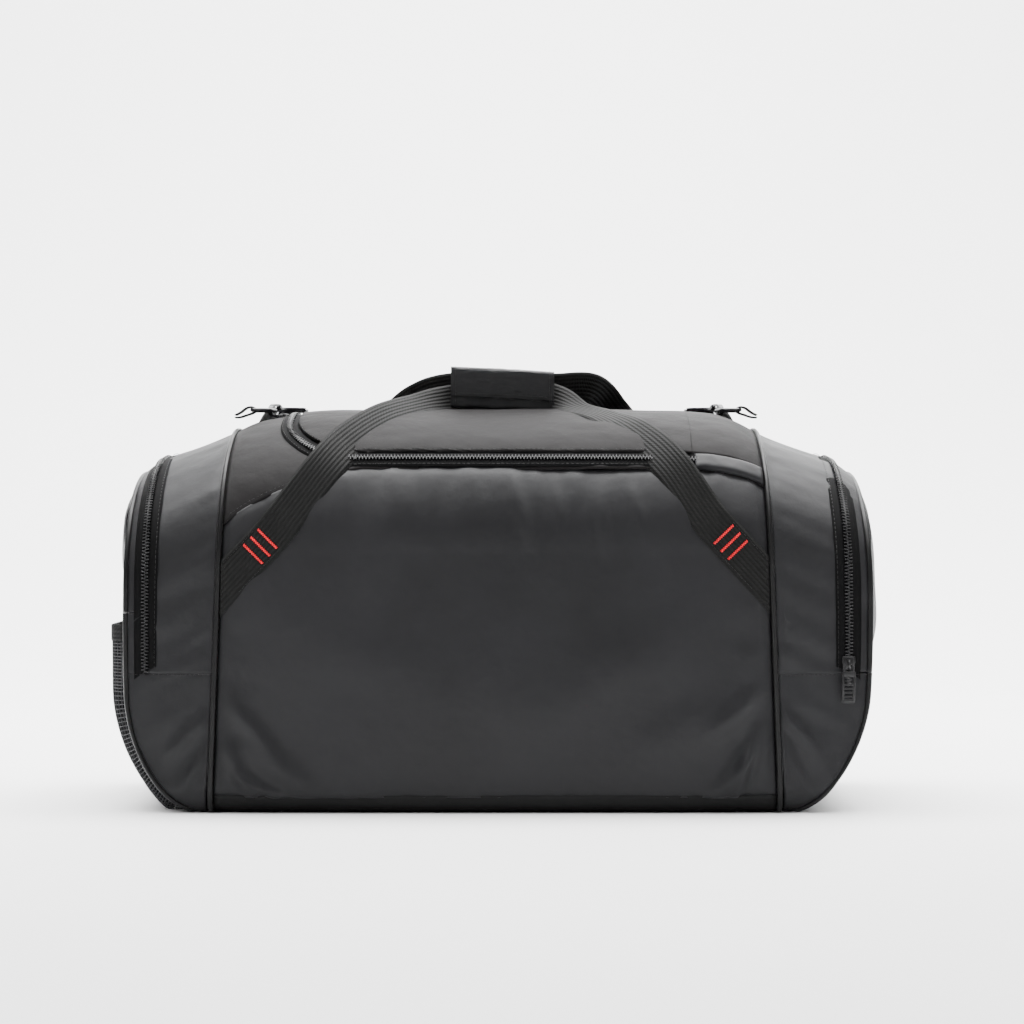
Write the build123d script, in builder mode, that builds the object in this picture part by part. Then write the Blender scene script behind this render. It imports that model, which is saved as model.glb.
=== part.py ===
from build123d import *
import os
from math import cos, radians, sin

# Hockey equipment bag. +X runs along the bag to the right, +Y to the back and +Z up. The origin is
# on the floor under the middle of the main compartment. All lengths are in millimetres.

# Driving dimensions
main_half_length = 277  # to the edge of the main compartment's panels
seam_width = 5.5  # piping between the main compartment and an end pocket
end_length = 84  # from the main piping to the end panel's piping
ridge_height = 402
end_height = 352
half_depth = 188
end_half_depth = 174
cloth = 3  # panel with its lining and foam
base_corner = 28
end_corner_height = 120  # height of the elliptical bottom corner at each end
bulge = 10
webbing_width = 38
webbing_thickness = 2

lid_left = -215
lid_right = 198
lid_half_width = 152
lid_corner = 70
zip_gap = 0.4
zip_tape = 8
zip_teeth = 3

zip_bottom = 140  # lower end of both end zips
flap_heights = {"left": 200, "right": 140}  # the left flap folds above the mesh pocket
sides = {"left": -1, "right": 1}
end_start = main_half_length + seam_width
end_stop = end_start + end_length
zip_stop = lid_right + 44  # the main zip runs on past the lid's fold
zip_inner_edge = end_stop - 26
zip_split = end_stop - 18
zip_outer_edge = end_stop - 10

pocket_half_width = 148
pocket_low = 22
pocket_top = 191
pocket_reach = 17
pocket_cloth = 1.5
binding_height = 16

tack_x = 232
tack_z = 276
shoulder_rise = 0.64  # of the height, where the shoulder's arc starts
shoulder_end = (0.66, 0.93)  # of the half depth and of the height, where it ends
handle_clearance = 5.5
grip_half = 54
grip_z = 430.5

ring_x = 254
ring_z = ridge_height + 8
ring_wire = 2.0

export = {}


def outline(x, inset=0.0, scale=0.0):
    """The bag's cross-section at x; scale runs from 0 in the main compartment to 1 at its end."""
    top = ridge_height + scale * (end_height - ridge_height) - inset
    side = half_depth + scale * (end_half_depth - half_depth) - inset
    corner = base_corner - min(inset, base_corner - 4)
    shoulder = (shoulder_end[0] * side, shoulder_end[1] * top)
    shoulder_start = shoulder_rise * top
    with BuildSketch(Plane.YZ.offset(x)) as section:
        with BuildLine():
            Line((-side + corner, inset), (side - corner, inset))
            TangentArc((side - corner, inset), (side, inset + corner), tangent=(1, 0))
            Line((side, inset + corner), (side, shoulder_start))
            TangentArc((side, shoulder_start), shoulder, tangent=(0, 1))
            ThreePointArc(shoulder, (0, top), (-shoulder[0], shoulder[1]))
            TangentArc((-side, shoulder_start), (-shoulder[0], shoulder[1]), tangent=(0, 1))
            Line((-side, shoulder_start), (-side, inset + corner))
            TangentArc((-side + corner, inset), (-side, inset + corner), tangent=(-1, 0))
        make_face()
    return section.sketch


def main_solid(inset, x_low, x_high):
    """A length of the main cross-section."""
    with BuildPart() as solid:
        extrude(outline(x_low, inset), amount=x_high - x_low)
    return solid.part


def end_solid(inset):
    """The right-hand end, tapering from the main cross-section to the smaller end panel."""
    with BuildPart() as solid:
        loft([outline(end_start, inset, 0), outline(end_stop, inset, 1)], ruled=True)
    return solid.part


def end_profile(inset):
    """The right-hand end seen from the front, with its elliptical bottom corner, as a deep prism."""
    with BuildPart() as prism:
        with BuildSketch(Plane.XZ) as side_view:
            with BuildLine():
                Line((end_start - 1, ridge_height + 20), (end_start - 1, inset))
                Line((end_start - 1, inset), (end_start, inset))
                EllipticalCenterArc(
                    (end_start, end_corner_height),
                    end_length - inset,
                    end_corner_height - inset,
                    start_angle=-90,
                    arc_size=90,
                )
                Line(
                    (end_stop - inset, end_corner_height),
                    (end_stop - inset, ridge_height + 20),
                )
                Line((end_stop - inset, ridge_height + 20), (end_start - 1, ridge_height + 20))
            make_face()
        extrude(side_view.sketch, amount=half_depth + 40, both=True)
    return prism.part


def block(x_low, x_high, y_low, y_high, z_low, z_high):
    """A box given by its limits."""
    with BuildPart() as solid:
        with BuildSketch(Plane.XY.offset(z_low)):
            with Locations(((x_low + x_high) / 2, (y_low + y_high) / 2)):
                Rectangle(x_high - x_low, y_high - y_low)
        extrude(amount=z_high - z_low)
    return solid.part


def lid_prism(outset, x_stop=lid_right):
    """The lid's plan outline grown by outset on three sides, as a tall prism that ends at x_stop."""
    half = lid_half_width + outset
    left = lid_left - outset
    with BuildPart() as prism:
        with BuildSketch(Plane.XY.offset(200)) as plan:
            with Locations(((left + x_stop) / 2, 0)):
                Rectangle(x_stop - left, 2 * half)
            fillet(plan.vertices().group_by(Axis.X)[0], lid_corner + outset)
        extrude(plan.sketch, amount=260)
    return prism.part


def ribbon(stations, width, thickness):
    """A flat strap through stations, each a point, the direction across it and its flat's normal."""
    with BuildPart() as strap:
        sections = []
        for point, across, normal in stations:
            along = Vector(*across).cross(Vector(*normal))
            with BuildSketch(Plane(origin=point, x_dir=across, z_dir=along)) as section:
                Rectangle(width, thickness)
            sections.append(section.sketch)
        loft(sections, ruled=True)
    return strap.part


def keep(name, part):
    """Label a finished piece and hold it for export."""
    part.label = name
    export[name] = part


def both_ends(name, part):
    """Hold a right-hand piece and its mirror image at the left-hand end."""
    keep(f"{name}_right", part)
    keep(f"{name}_left", part.mirror(Plane.YZ))


# Arc of the main compartment's rear shoulder
rise = shoulder_end[1] * ridge_height - shoulder_rise * ridge_height
sink = half_depth * (1 - shoulder_end[0])
shoulder_radius = (rise**2 + sink**2) / (2 * sink)
shoulder_y = half_depth - shoulder_radius
shoulder_z = shoulder_rise * ridge_height

# Main compartment
shell_outer = main_solid(0, -main_half_length, main_half_length)
shell_inner = main_solid(cloth, -main_half_length - 5, main_half_length + 5)
base_height = 16
zip_edge = lid_half_width + zip_tape

for name, side in {"front_panel": -1, "back_panel": 1}.items():
    edge = sorted((side * zip_edge, side * 250))
    with BuildPart() as panel:
        add(shell_outer)
        add(shell_inner, mode=Mode.SUBTRACT)
        add(block(-300, 300, *edge, base_height, 420), mode=Mode.INTERSECT)
    keep(name, panel.part)

with BuildPart() as base_panel:
    add(shell_outer)
    add(shell_inner, mode=Mode.SUBTRACT)
    add(block(-300, 300, -250, 250, -10, base_height), mode=Mode.INTERSECT)
keep("base_panel", base_panel.part)

with BuildPart() as base_board:
    with BuildSketch(Plane.XY.offset(cloth)):
        RectangleRounded(530, 310, 20)
    extrude(amount=4)
keep("base_board", base_board.part)

# Top of the main compartment: the panels at either end of the lid, the zip and the lid
for name, x_low, x_high in (("left", -300, -150), ("right", lid_right + zip_gap, 300)):
    with BuildPart() as top_panel:
        add(shell_outer)
        add(shell_inner, mode=Mode.SUBTRACT)
        add(block(x_low, x_high, -zip_edge, zip_edge, 250, 420), mode=Mode.INTERSECT)
        add(lid_prism(zip_tape, lid_right + zip_gap), mode=Mode.SUBTRACT)
        for side in (-1, 1):
            across = sorted((side * (lid_half_width - zip_teeth), side * zip_edge))
            add(block(lid_right, zip_stop, *across, 250, 420), mode=Mode.SUBTRACT)
    keep(f"top_panel_{name}", top_panel.part)


def zip_half(tape_edge, teeth_edge, teeth_limit, tape_limit, x_stop):
    """One half of the main zip: a tape set into the top and a raised row of teeth along its edge."""
    with BuildPart() as tape:
        add(main_solid(0.6, -main_half_length, main_half_length))
        add(main_solid(2.0, -main_half_length, main_half_length), mode=Mode.SUBTRACT)
        add(lid_prism(tape_edge, x_stop), mode=Mode.INTERSECT)
        add(lid_prism(tape_limit, 300), mode=Mode.SUBTRACT)
    with BuildPart() as teeth:
        add(main_solid(-1.6, -main_half_length, main_half_length))
        add(main_solid(0.6, -main_half_length, main_half_length), mode=Mode.SUBTRACT)
        add(lid_prism(teeth_edge, x_stop), mode=Mode.INTERSECT)
        add(lid_prism(teeth_limit, 300), mode=Mode.SUBTRACT)
    return tape.part + teeth.part


closed_end = zip_half(zip_teeth, zip_teeth, -zip_teeth, -zip_teeth, zip_stop)
closed_end = closed_end.intersect(block(lid_right + zip_gap, zip_stop, -200, 200, 250, 420))
keep("main_zip_body_side", zip_half(zip_tape, zip_teeth, zip_gap, zip_gap, zip_stop) + closed_end)
keep("main_zip_lid_side", zip_half(0, 0, -zip_teeth, -zip_tape, lid_right))

with BuildPart() as main_lid:
    add(shell_outer)
    add(shell_inner, mode=Mode.SUBTRACT)
    add(lid_prism(-zip_tape), mode=Mode.INTERSECT)
keep("main_lid", main_lid.part)

# Cloth tabs that cover the closed ends of the main zip, front and back
with BuildPart() as zip_end_tabs:
    add(main_solid(-3.2, zip_stop + 0.5, main_half_length))
    add(main_solid(0, zip_stop + 0.5, main_half_length), mode=Mode.SUBTRACT)
    tab_edge = lid_half_width - 11
    for side in (-1, 1):
        across = sorted((side * (lid_half_width + 10), side * 250))
        add(block(lid_right, 300, *across, -10, 420), mode=Mode.SUBTRACT)
    add(block(lid_right, 300, -tab_edge, tab_edge, -10, 420), mode=Mode.SUBTRACT)
    add(block(lid_right, 300, -250, 250, 250, 420), mode=Mode.INTERSECT)
keep("zip_end_tabs", zip_end_tabs.part)

# Ends
end_outer = end_solid(0)
end_inner = end_solid(cloth)
profile_outer = end_profile(0)
profile_inner = end_profile(cloth)
pad_middle = 232
with BuildPart() as bulge_pad:
    with BuildSketch(Plane.YZ.offset(end_stop)):
        with Locations((0, pad_middle)):
            RectangleRounded(2 * end_half_depth - 30, 208, 60)
    with BuildSketch(Plane.YZ.offset(end_stop + bulge)):
        with Locations((0, pad_middle)):
            RectangleRounded(2 * end_half_depth - 120, 130, 50)
    loft(ruled=True)

with BuildPart() as gusset:
    add(end_outer)
    add(end_inner, mode=Mode.SUBTRACT)
    add(profile_inner, mode=Mode.INTERSECT)
with BuildPart() as end_wall:
    add(end_outer)
    add(profile_outer, mode=Mode.INTERSECT)
    add(profile_inner, mode=Mode.SUBTRACT)

# Piping along the edges between the gusset and the end panel
with BuildPart() as end_piping:
    add(end_solid(-2.6))
    add(end_outer, mode=Mode.SUBTRACT)
    add(end_profile(-2.2), mode=Mode.INTERSECT)
    add(end_profile(cloth - 0.2), mode=Mode.SUBTRACT)
    add(block(end_start, 400, -250, 250, 0.2, 420), mode=Mode.INTERSECT)


def end_slice(x_low, x_high, z_low, z_high):
    """A slice of the space round the right-hand end."""
    return block(x_low, x_high, -250, 250, z_low, z_high)


for end, mirror_side in sides.items():
    fold = flap_heights[end]
    flap_low = fold + zip_gap
    top = 420
    far = end_stop + 40
    tape_space = end_slice(zip_inner_edge, zip_outer_edge, zip_bottom, top)
    pieces = {}

    with BuildPart() as end_gusset:
        add(gusset.part)
        add(tape_space, mode=Mode.SUBTRACT)
        add(end_slice(zip_outer_edge, far, fold, top), mode=Mode.SUBTRACT)
    pieces["end_gusset"] = end_gusset.part

    with BuildPart() as end_panel:
        add(end_wall.part)
        add(bulge_pad.part)
        add(end_slice(end_start, far, -10, fold), mode=Mode.INTERSECT)
    pieces["end_panel"] = end_panel.part

    with BuildPart() as end_flap:
        add(gusset.part)
        add(end_slice(zip_outer_edge, far, flap_low, top), mode=Mode.INTERSECT)
        add(end_wall.part.intersect(end_slice(end_start, far, flap_low, top)))
        add(bulge_pad.part.intersect(end_slice(end_start, far, flap_low, top)))
    pieces["end_flap"] = end_flap.part

    with BuildPart() as zip_body_side:
        add(gusset.part)
        add(end_slice(zip_inner_edge, zip_outer_edge, zip_bottom, top), mode=Mode.INTERSECT)
        add(end_slice(zip_split - zip_gap, zip_outer_edge, fold, top), mode=Mode.SUBTRACT)
    pieces["end_zip_body_side"] = zip_body_side.part

    with BuildPart() as zip_flap_side:
        add(gusset.part)
        add(end_slice(zip_split, zip_outer_edge, flap_low, top), mode=Mode.INTERSECT)
    pieces["end_zip_flap_side"] = zip_flap_side.part

    with BuildPart() as piping_lower:
        add(end_piping.part)
        add(end_slice(end_start, far, 0, fold), mode=Mode.INTERSECT)
    pieces["end_piping"] = piping_lower.part

    with BuildPart() as piping_flap:
        add(end_piping.part)
        add(end_slice(end_start, far, flap_low, top), mode=Mode.INTERSECT)
    pieces["flap_piping"] = piping_flap.part

    # The divider closes the main compartment off from the end pocket
    with BuildPart() as divider:
        extrude(outline(main_half_length + 1.5, cloth), amount=2.5)
    pieces["divider"] = divider.part

    # Piping where the end joins the main compartment, pressed flat on the floor
    with BuildPart() as main_piping:
        extrude(outline(main_half_length, -2.5), amount=seam_width)
        extrude(outline(main_half_length, cloth), amount=seam_width, mode=Mode.SUBTRACT)
        add(end_slice(0, far, 0, top), mode=Mode.INTERSECT)
    pieces["main_piping"] = main_piping.part

    for name, part in pieces.items():
        if mirror_side < 0:
            part = part.mirror(Plane.YZ)
        keep(f"{name}_{end}", part)

# Mesh pocket on the left-hand end, open at the top under an elastic binding
with BuildPart() as pocket_hollow:
    add(end_profile(pocket_cloth - pocket_reach))
    add(end_profile(0), mode=Mode.SUBTRACT)
    add(
        block(0, 420, 2 - pocket_half_width, pocket_half_width - 2, pocket_low + 3, 300),
        mode=Mode.INTERSECT,
    )
with BuildPart() as mesh_pocket:
    add(end_profile(-pocket_reach))
    add(end_profile(0), mode=Mode.SUBTRACT)
    add(
        block(
            end_start + 20,
            420,
            -pocket_half_width,
            pocket_half_width,
            pocket_low,
            pocket_top - binding_height,
        ),
        mode=Mode.INTERSECT,
    )
    add(pocket_hollow.part, mode=Mode.SUBTRACT)
    add(bulge_pad.part, mode=Mode.SUBTRACT)
keep("mesh_pocket", mesh_pocket.part.mirror(Plane.YZ))

pocket_face = end_stop + pocket_reach
pocket_binding = block(
    pocket_face - 2.5,
    pocket_face,
    -pocket_half_width,
    pocket_half_width,
    pocket_top - binding_height,
    pocket_top,
)
keep("mesh_pocket_binding", pocket_binding.mirror(Plane.YZ))

# Handles. Each strap is sewn to its panel up to the bar tacks and is free above them.
sewn_run = 124
run = Vector(sin(radians(41.5)), 0, cos(radians(41.5)))
for name, side in {"front": -1, "rear": 1}.items():
    with BuildPart() as tacks:
        for mirror_side in (-1, 1):
            tack_plane = Plane(
                origin=(mirror_side * tack_x, side * (half_depth + webbing_thickness), tack_z),
                x_dir=(-mirror_side * run.X, 0, run.Z),
                z_dir=(0, side, 0),
            )
            with BuildSketch(tack_plane) as tack_plan:
                with Locations((-3, 0), (-14, 0), (-25, 0)):
                    Rectangle(3, 27)
            extrude(tack_plan.sketch, amount=0.8)
    keep(f"{name}_bar_tacks", tacks.part)
    with BuildPart() as strap_ends:
        for mirror_side in (-1, 1):
            strap_plane = Plane(
                origin=(mirror_side * tack_x, side * half_depth, tack_z),
                x_dir=(-mirror_side * run.X, 0, run.Z),
                z_dir=(0, side, 0),
            )
            with BuildSketch(strap_plane) as anchor_plan:
                with Locations((-sewn_run / 2, 0)):
                    Rectangle(sewn_run, webbing_width)
            extrude(anchor_plan.sketch, amount=webbing_thickness)
        add(block(-main_half_length, main_half_length, -250, 250, 0, 420), mode=Mode.INTERSECT)
    keep(f"{name}_strap_ends", strap_ends.part)


def on_shoulder(angle, clearance):
    """The y, z and normal of a point beside the rear shoulder's arc, at an angle above level."""
    normal = (0, cos(radians(angle)), sin(radians(angle)))
    reach = shoulder_radius + clearance
    return shoulder_y + reach * normal[1], shoulder_z + reach * normal[2], normal


def squared(stations):
    """The same stations with each direction across the strap made square to its normal."""
    result = []
    for point, across, normal in stations:
        face = Vector(*normal).normalized()
        flat = Vector(*across)
        flat = (flat - face * flat.dot(face)).normalized()
        result.append((point, tuple(flat), tuple(face)))
    return result


def handle_stations(side, reach):
    """Stations along a free handle: up over the shoulder, through the grip and down again."""
    half = [((-tack_x + 2.5, half_depth + 1.6, tack_z + 2.5), (0.66, 0, -0.75), (0, 1, 0))]
    for x, angle, across in (
        (-203, 22, (0.78, 0, -0.62)),
        (-176, 36, (0.80, 0.20, -0.55)),
        (-152, 49, (0.76, 0.42, -0.46)),
    ):
        y, z, normal = on_shoulder(angle, handle_clearance)
        half.append(((x, y, z), across, normal))
    half += [
        ((-124, 98, 392), (0.64, 0.68, -0.36), (0.05, 0.45, 0.89)),
        ((-97, 58, 405), (0.50, 0.70, -0.50), (0.0, 0.55, 0.83)),
        ((-75, 27, 418), (0.30, 0.45, -0.84), (0.0, 0.86, 0.5)),
        ((-57, reach, grip_z), (0, 0.22, -0.97), (0, 0.97, 0.22)),
        ((0, reach, grip_z), (0, 0.22, -0.97), (0, 0.97, 0.22)),
    ]
    other = [
        ((-p[0], p[1], p[2]), (a[0], -a[1], -a[2]), (-n[0], n[1], n[2])) for p, a, n in half[-2::-1]
    ]
    return squared(
        [
            ((p[0], side * p[1], p[2]), (a[0], side * a[1], a[2]), (n[0], side * n[1], n[2]))
            for p, a, n in half + other
        ]
    )


keep("front_handle", ribbon(handle_stations(-1, 8), webbing_width - 2, webbing_thickness))
keep("rear_handle", ribbon(handle_stations(1, 5), webbing_width - 2, webbing_thickness))

# Grip wrap round both handles: a shell sewn to the front handle, with a flap over the top and back
grip_bottom = grip_z - 21.5
grip_top = grip_z + 21.5
wrap = 3
with BuildPart() as grip_wrap:
    with BuildSketch(Plane.YZ.offset(-grip_half)) as wrap_section:
        with BuildLine():
            Polyline(
                (-17, grip_top),
                (-20, grip_top - 1),
                (-23, grip_top - 4),
                (-23, grip_bottom + 2),
                (-21, grip_bottom),
                (14, grip_bottom),
                (14, grip_bottom + wrap),
                (-20, grip_bottom + wrap),
                (-20, grip_top - 5),
                (-17, grip_top - wrap),
                close=True,
            )
        make_face()
    extrude(amount=2 * grip_half)
keep("grip_wrap", grip_wrap.part)
with BuildPart() as grip_flap:
    with BuildSketch(Plane.YZ.offset(-grip_half)) as flap_section:
        with BuildLine():
            Polyline(
                (-16.6, grip_top),
                (15, grip_top),
                (19, grip_top - 4),
                (19, grip_bottom + 0.4),
                (16, grip_bottom + 0.4),
                (16, grip_top - 5),
                (13.6, grip_top - wrap),
                (-16.6, grip_top - wrap),
                close=True,
            )
        make_face()
    extrude(amount=2 * grip_half)
keep("grip_flap", grip_flap.part)

# Strap rings: a webbing tab at each end of the ridge holds a D-ring
bar_x = ring_x + 3.6
with BuildPart() as ring_tab:
    with BuildSketch(Plane.XZ) as tab_side:
        with Locations((bar_x + 7, ring_z + 0.2)):
            Rectangle(22, 7.4)
        with Locations((bar_x + 10.2, (ridge_height + ring_z) / 2)):
            Rectangle(15.6, ring_z - ridge_height)
        with Locations((bar_x, ring_z)):
            Circle(ring_wire + 0.4, mode=Mode.SUBTRACT)
    extrude(tab_side.sketch, amount=12.5, both=True)
both_ends("ring_tab", ring_tab.part)

with BuildPart() as strap_ring:
    with BuildLine(Plane.XY.offset(ring_z)) as ring_path:
        FilletPolyline(
            (bar_x, -17),
            (ring_x - 14, -17),
            (ring_x - 20, 0),
            (ring_x - 14, 17),
            (bar_x, 17),
            radius=9,
        )
    with BuildSketch(Plane(origin=ring_path.line @ 0, z_dir=ring_path.line % 0)) as wire:
        Circle(ring_wire)
    sweep(wire.sketch, path=ring_path.line)
    with BuildSketch(Plane.XZ.offset(-19)) as bar_end:
        with Locations((bar_x, ring_z)):
            Circle(ring_wire)
    extrude(bar_end.sketch, amount=38)
both_ends("strap_ring", strap_ring.part)

# Snap hooks on the rings, pointing inward and to the back, each with a sprung gate on top
hook_turn = radians(112)
hook_along = Vector(cos(hook_turn), sin(hook_turn), 0)
hook_start = Vector(ring_x - 18, 6.2, ring_z)
hook_plane = Plane(origin=hook_start, x_dir=hook_along, z_dir=(hook_along.Y, -hook_along.X, 0))
with BuildPart() as snap_hook:
    with BuildSketch(hook_plane.offset(-2.5)) as hook_plan:
        with Locations((3, 0)):
            Ellipse(13.5, 7.6)
        with Locations((3, 0)):
            Ellipse(9.6, 4.4, mode=Mode.SUBTRACT)
        with Locations((4, 6.2)):
            Rectangle(12, 5, mode=Mode.SUBTRACT)
        with Locations((21.4, 0)):
            Rectangle(12, 7)
    extrude(hook_plan.sketch, amount=5)
both_ends("snap_hook", snap_hook.part)
with BuildPart() as hook_gate:
    with BuildSketch(hook_plane.offset(-1.8)) as gate_plan:
        with Locations((4, 5.9)):
            Rectangle(11, 2.2)
    extrude(gate_plan.sketch, amount=3.6)
both_ends("hook_gate", hook_gate.part)
eye_reach = 34
with BuildPart() as strap_eye:
    with BuildSketch(Plane(origin=hook_start - Vector(0, 0, 2), x_dir=hook_along, z_dir=(0, 0, 1))):
        with Locations((eye_reach, 0)):
            RectangleRounded(13, 44, 4)
            RectangleRounded(7, 38.6, 2, mode=Mode.SUBTRACT)
    extrude(amount=4)
both_ends("strap_eye", strap_eye.part)

# Shoulder strap: over the rear shoulder at each end, then hanging in a curve behind the bag
eye = hook_start + hook_along * eye_reach
strap_lift = ring_z + 3.4
upper = [
    ((eye.X, eye.Y, strap_lift), (0.95, 0.3, 0), (0, 0, 1)),
    ((eye.X + 4, eye.Y + 17, strap_lift), (0.98, -0.1, 0), (0, 0, 1)),
    ((eye.X + 16, 92, strap_lift - 9), (0.95, -0.3, 0), (0, 0.35, 0.94)),
]
for x, angle, clearance in ((249, 60, 10), (258, 42, 11.5), (259, 24, 12.5)):
    y, z, normal = on_shoulder(angle, clearance)
    upper.append(((x, y, z), (1, -0.1, 0), normal))
upper.append(((258, 197, 282), (1, 0, 0), (0, 1, 0)))
upper.append(((258, 198, 262), (1, 0, 0), (0, 1, 0)))
side_hang = [
    ((258, 198, 262), (1, 0, 0), (0, 1, 0)),
    ((253, 203, 222), (0.94, -0.34, -0.1), (0.34, 0.94, 0)),
    ((238, 211, 180), (0.7, -0.68, -0.36), (0.66, 0.7, -0.3)),
    ((208, 219, 140), (0.2, -0.97, -0.2), (0.7, 0.2, -0.68)),
    ((158, 222, 108), (0, -1, 0), (0.5, 0, -0.85)),
    ((96, 222, 88), (0, -1, 0), (0.21, 0, -0.98)),
]


def low_stations(drop):
    """Stations along the lowest part of the strap, lowered by drop."""
    return [
        ((x, 222, 78 - drop + 0.00108 * x * x), (0, -1, 0), (0.0021 * x, 0, -1))
        for x in (96, 60, 20, -20, -60, -96)
    ]


strap_side = ribbon(squared(side_hang), webbing_width, webbing_thickness)
strap_low = ribbon(squared(low_stations(0)), webbing_width, webbing_thickness)
both_ends("shoulder_strap_end", ribbon(squared(upper), webbing_width, webbing_thickness))
keep("shoulder_strap", strap_side + strap_low + strap_side.mirror(Plane.YZ))
keep("shoulder_pad", ribbon(squared(low_stations(4.4)), 62, 6))
with BuildPart() as strap_adjuster:
    with BuildSketch(Plane(origin=(-258, 199.4, 278), x_dir=(1, 0, 0), z_dir=(0, 1, 0))):
        RectangleRounded(46, 30, 4)
    extrude(amount=3)
keep("strap_adjuster", strap_adjuster.part)


def zip_slider(name, plane):
    """A slider on its zip, and the pull tab that hangs from its bridge along the plane's -X."""
    bridge = Plane(origin=plane.origin, x_dir=plane.x_dir, z_dir=plane.y_dir)
    up = 1 if bridge.y_dir.dot(plane.z_dir) > 0 else -1
    with BuildPart() as slider:
        with BuildSketch(plane) as foot:
            RectangleRounded(15, 10, 3)
        extrude(foot.sketch, amount=4)
        with BuildSketch(bridge) as arch:
            with Locations((0, up * 5.9)):
                Rectangle(11, 4.2)
            with Locations((-1, up * 5.4)):
                Rectangle(6.5, 2.8, mode=Mode.SUBTRACT)
        extrude(arch.sketch, amount=1.6, both=True)
    keep(f"{name}_slider", slider.part)
    with BuildPart() as pull:
        with BuildSketch(plane.offset(4.3)) as pull_plan:
            with Locations((-22.8, 0)):
                RectangleRounded(32.4, 12, 3)
            with Locations((-32, 0)):
                RectangleRounded(9, 6, 2, mode=Mode.SUBTRACT)
            with Locations((-4.2, -3.2), (-4.2, 3.2)):
                Rectangle(7.6, 2.4)
        extrude(pull_plan.sketch, amount=2.2)
        with BuildSketch(bridge) as pin:
            with Locations((-1, up * 5.4)):
                Circle(0.8)
        extrude(pin.sketch, amount=4, both=True)
    keep(f"{name}_pull", pull.part)


zip_y, zip_z, zip_normal = on_shoulder(42.3, 2.2)
zip_slider("main_zip", Plane(origin=(zip_stop - 12, zip_y, zip_z), x_dir=(-1, 0, 0), z_dir=zip_normal))
for end, mirror_side in sides.items():
    face = mirror_side * -178.8
    zip_slider(
        f"{end}_end_zip",
        Plane(
            origin=(mirror_side * zip_split, face, zip_bottom + 10),
            x_dir=(0, 0, 1),
            z_dir=(0, -mirror_side, 0),
        ),
    )

os.makedirs("parts", exist_ok=True)
for name, part in export.items():
    export_step(part, f"parts/{name}.step")
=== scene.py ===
import math

import bmesh
import bpy
from mathutils import Matrix, Vector, noise


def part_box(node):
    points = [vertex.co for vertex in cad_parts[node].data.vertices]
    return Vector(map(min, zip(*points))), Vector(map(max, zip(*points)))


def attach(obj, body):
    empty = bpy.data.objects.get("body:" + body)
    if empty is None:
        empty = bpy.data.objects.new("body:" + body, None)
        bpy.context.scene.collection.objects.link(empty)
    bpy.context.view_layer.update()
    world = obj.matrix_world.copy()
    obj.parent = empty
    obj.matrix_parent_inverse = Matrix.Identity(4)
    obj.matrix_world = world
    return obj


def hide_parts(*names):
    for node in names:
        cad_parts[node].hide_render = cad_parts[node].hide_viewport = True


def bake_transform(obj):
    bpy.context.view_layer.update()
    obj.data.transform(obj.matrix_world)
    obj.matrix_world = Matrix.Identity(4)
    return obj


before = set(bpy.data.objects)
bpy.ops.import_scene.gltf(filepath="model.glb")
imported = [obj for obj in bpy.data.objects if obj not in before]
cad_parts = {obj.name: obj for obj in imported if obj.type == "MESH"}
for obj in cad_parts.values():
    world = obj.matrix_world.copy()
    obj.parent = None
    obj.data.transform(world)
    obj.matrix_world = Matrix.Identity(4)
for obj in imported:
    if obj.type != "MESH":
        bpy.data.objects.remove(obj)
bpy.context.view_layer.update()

bl_info = {
    "name": "Hockey Equipment Bag",
    "version": (1, 0, 0),
    "blender": (4, 5, 0),
    "location": "View3D > Sidebar > Bag",
    "description": "Sews a long soft hockey bag round its packed frame",
    "category": "Add Mesh",
}

# Sizes taken from the frame, in metres
PANEL_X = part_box("front_panel")[1].x
DEPTH = -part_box("front_panel")[0].y
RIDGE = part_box("main_lid")[1].z
BASE_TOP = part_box("front_panel")[0].z
SEAM_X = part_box("end_gusset_right")[0].x
END_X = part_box("end_flap_right")[0].x + 0.01
END_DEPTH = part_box("end_flap_right")[1].y - 0.0015
END_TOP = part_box("flap_piping_right")[1].z
LID_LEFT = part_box("main_zip_lid_side")[0].x
LID_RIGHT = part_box("main_lid")[1].x
LID_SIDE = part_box("main_zip_lid_side")[1].y
ZIP_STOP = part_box("main_zip_body_side")[1].x
ZIP_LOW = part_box("end_zip_body_side_right")[0].z
FOLD = {"left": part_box("end_flap_left")[0].z, "right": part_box("end_flap_right")[0].z}
END_ZIP_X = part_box("end_zip_flap_side_right")[0].x
LID_FOLD = ("bag", "lid", (LID_RIGHT + 0.004, 0, RIDGE), (LID_RIGHT - 0.03, 0, RIDGE))

# The bag's own sizes, in metres
CORNER = 0.028  # radius of the bottom edges, front and back
END_CORNER = 0.120  # height of the rounded lower end
END_ARC = 1.35 * END_CORNER  # cloth length round it
SEAM_DEPTH = DEPTH - 0.004  # half depth at the end seams
LID_RADIUS = 0.074  # corners of the lid
SEAM_GAP = 0.0095  # from the zip's middle to the edge of the cloth beside it
TACK = (0.232, 0.276)  # X and Z of the lowest bar tack
WEBBING = 0.038
PANEL_WALL = 0.0022
END_WALL = 0.0024
STITCH_GAP = 0.0011
STITCH_RADIUS = 0.00032
TOOTH_RISE = 0.0012  # of the teeth over the tape

# Shape of the upper half of the section: where its shoulder starts, as a share of the height, and
# how square it is
SHOULDER_START = 0.64
SHOULDER_POWER = 2.27

MIRROR = {"left": -1, "right": 1}

profiles = {}


# Shape of the bag --------------------------------------------------------------


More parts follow.
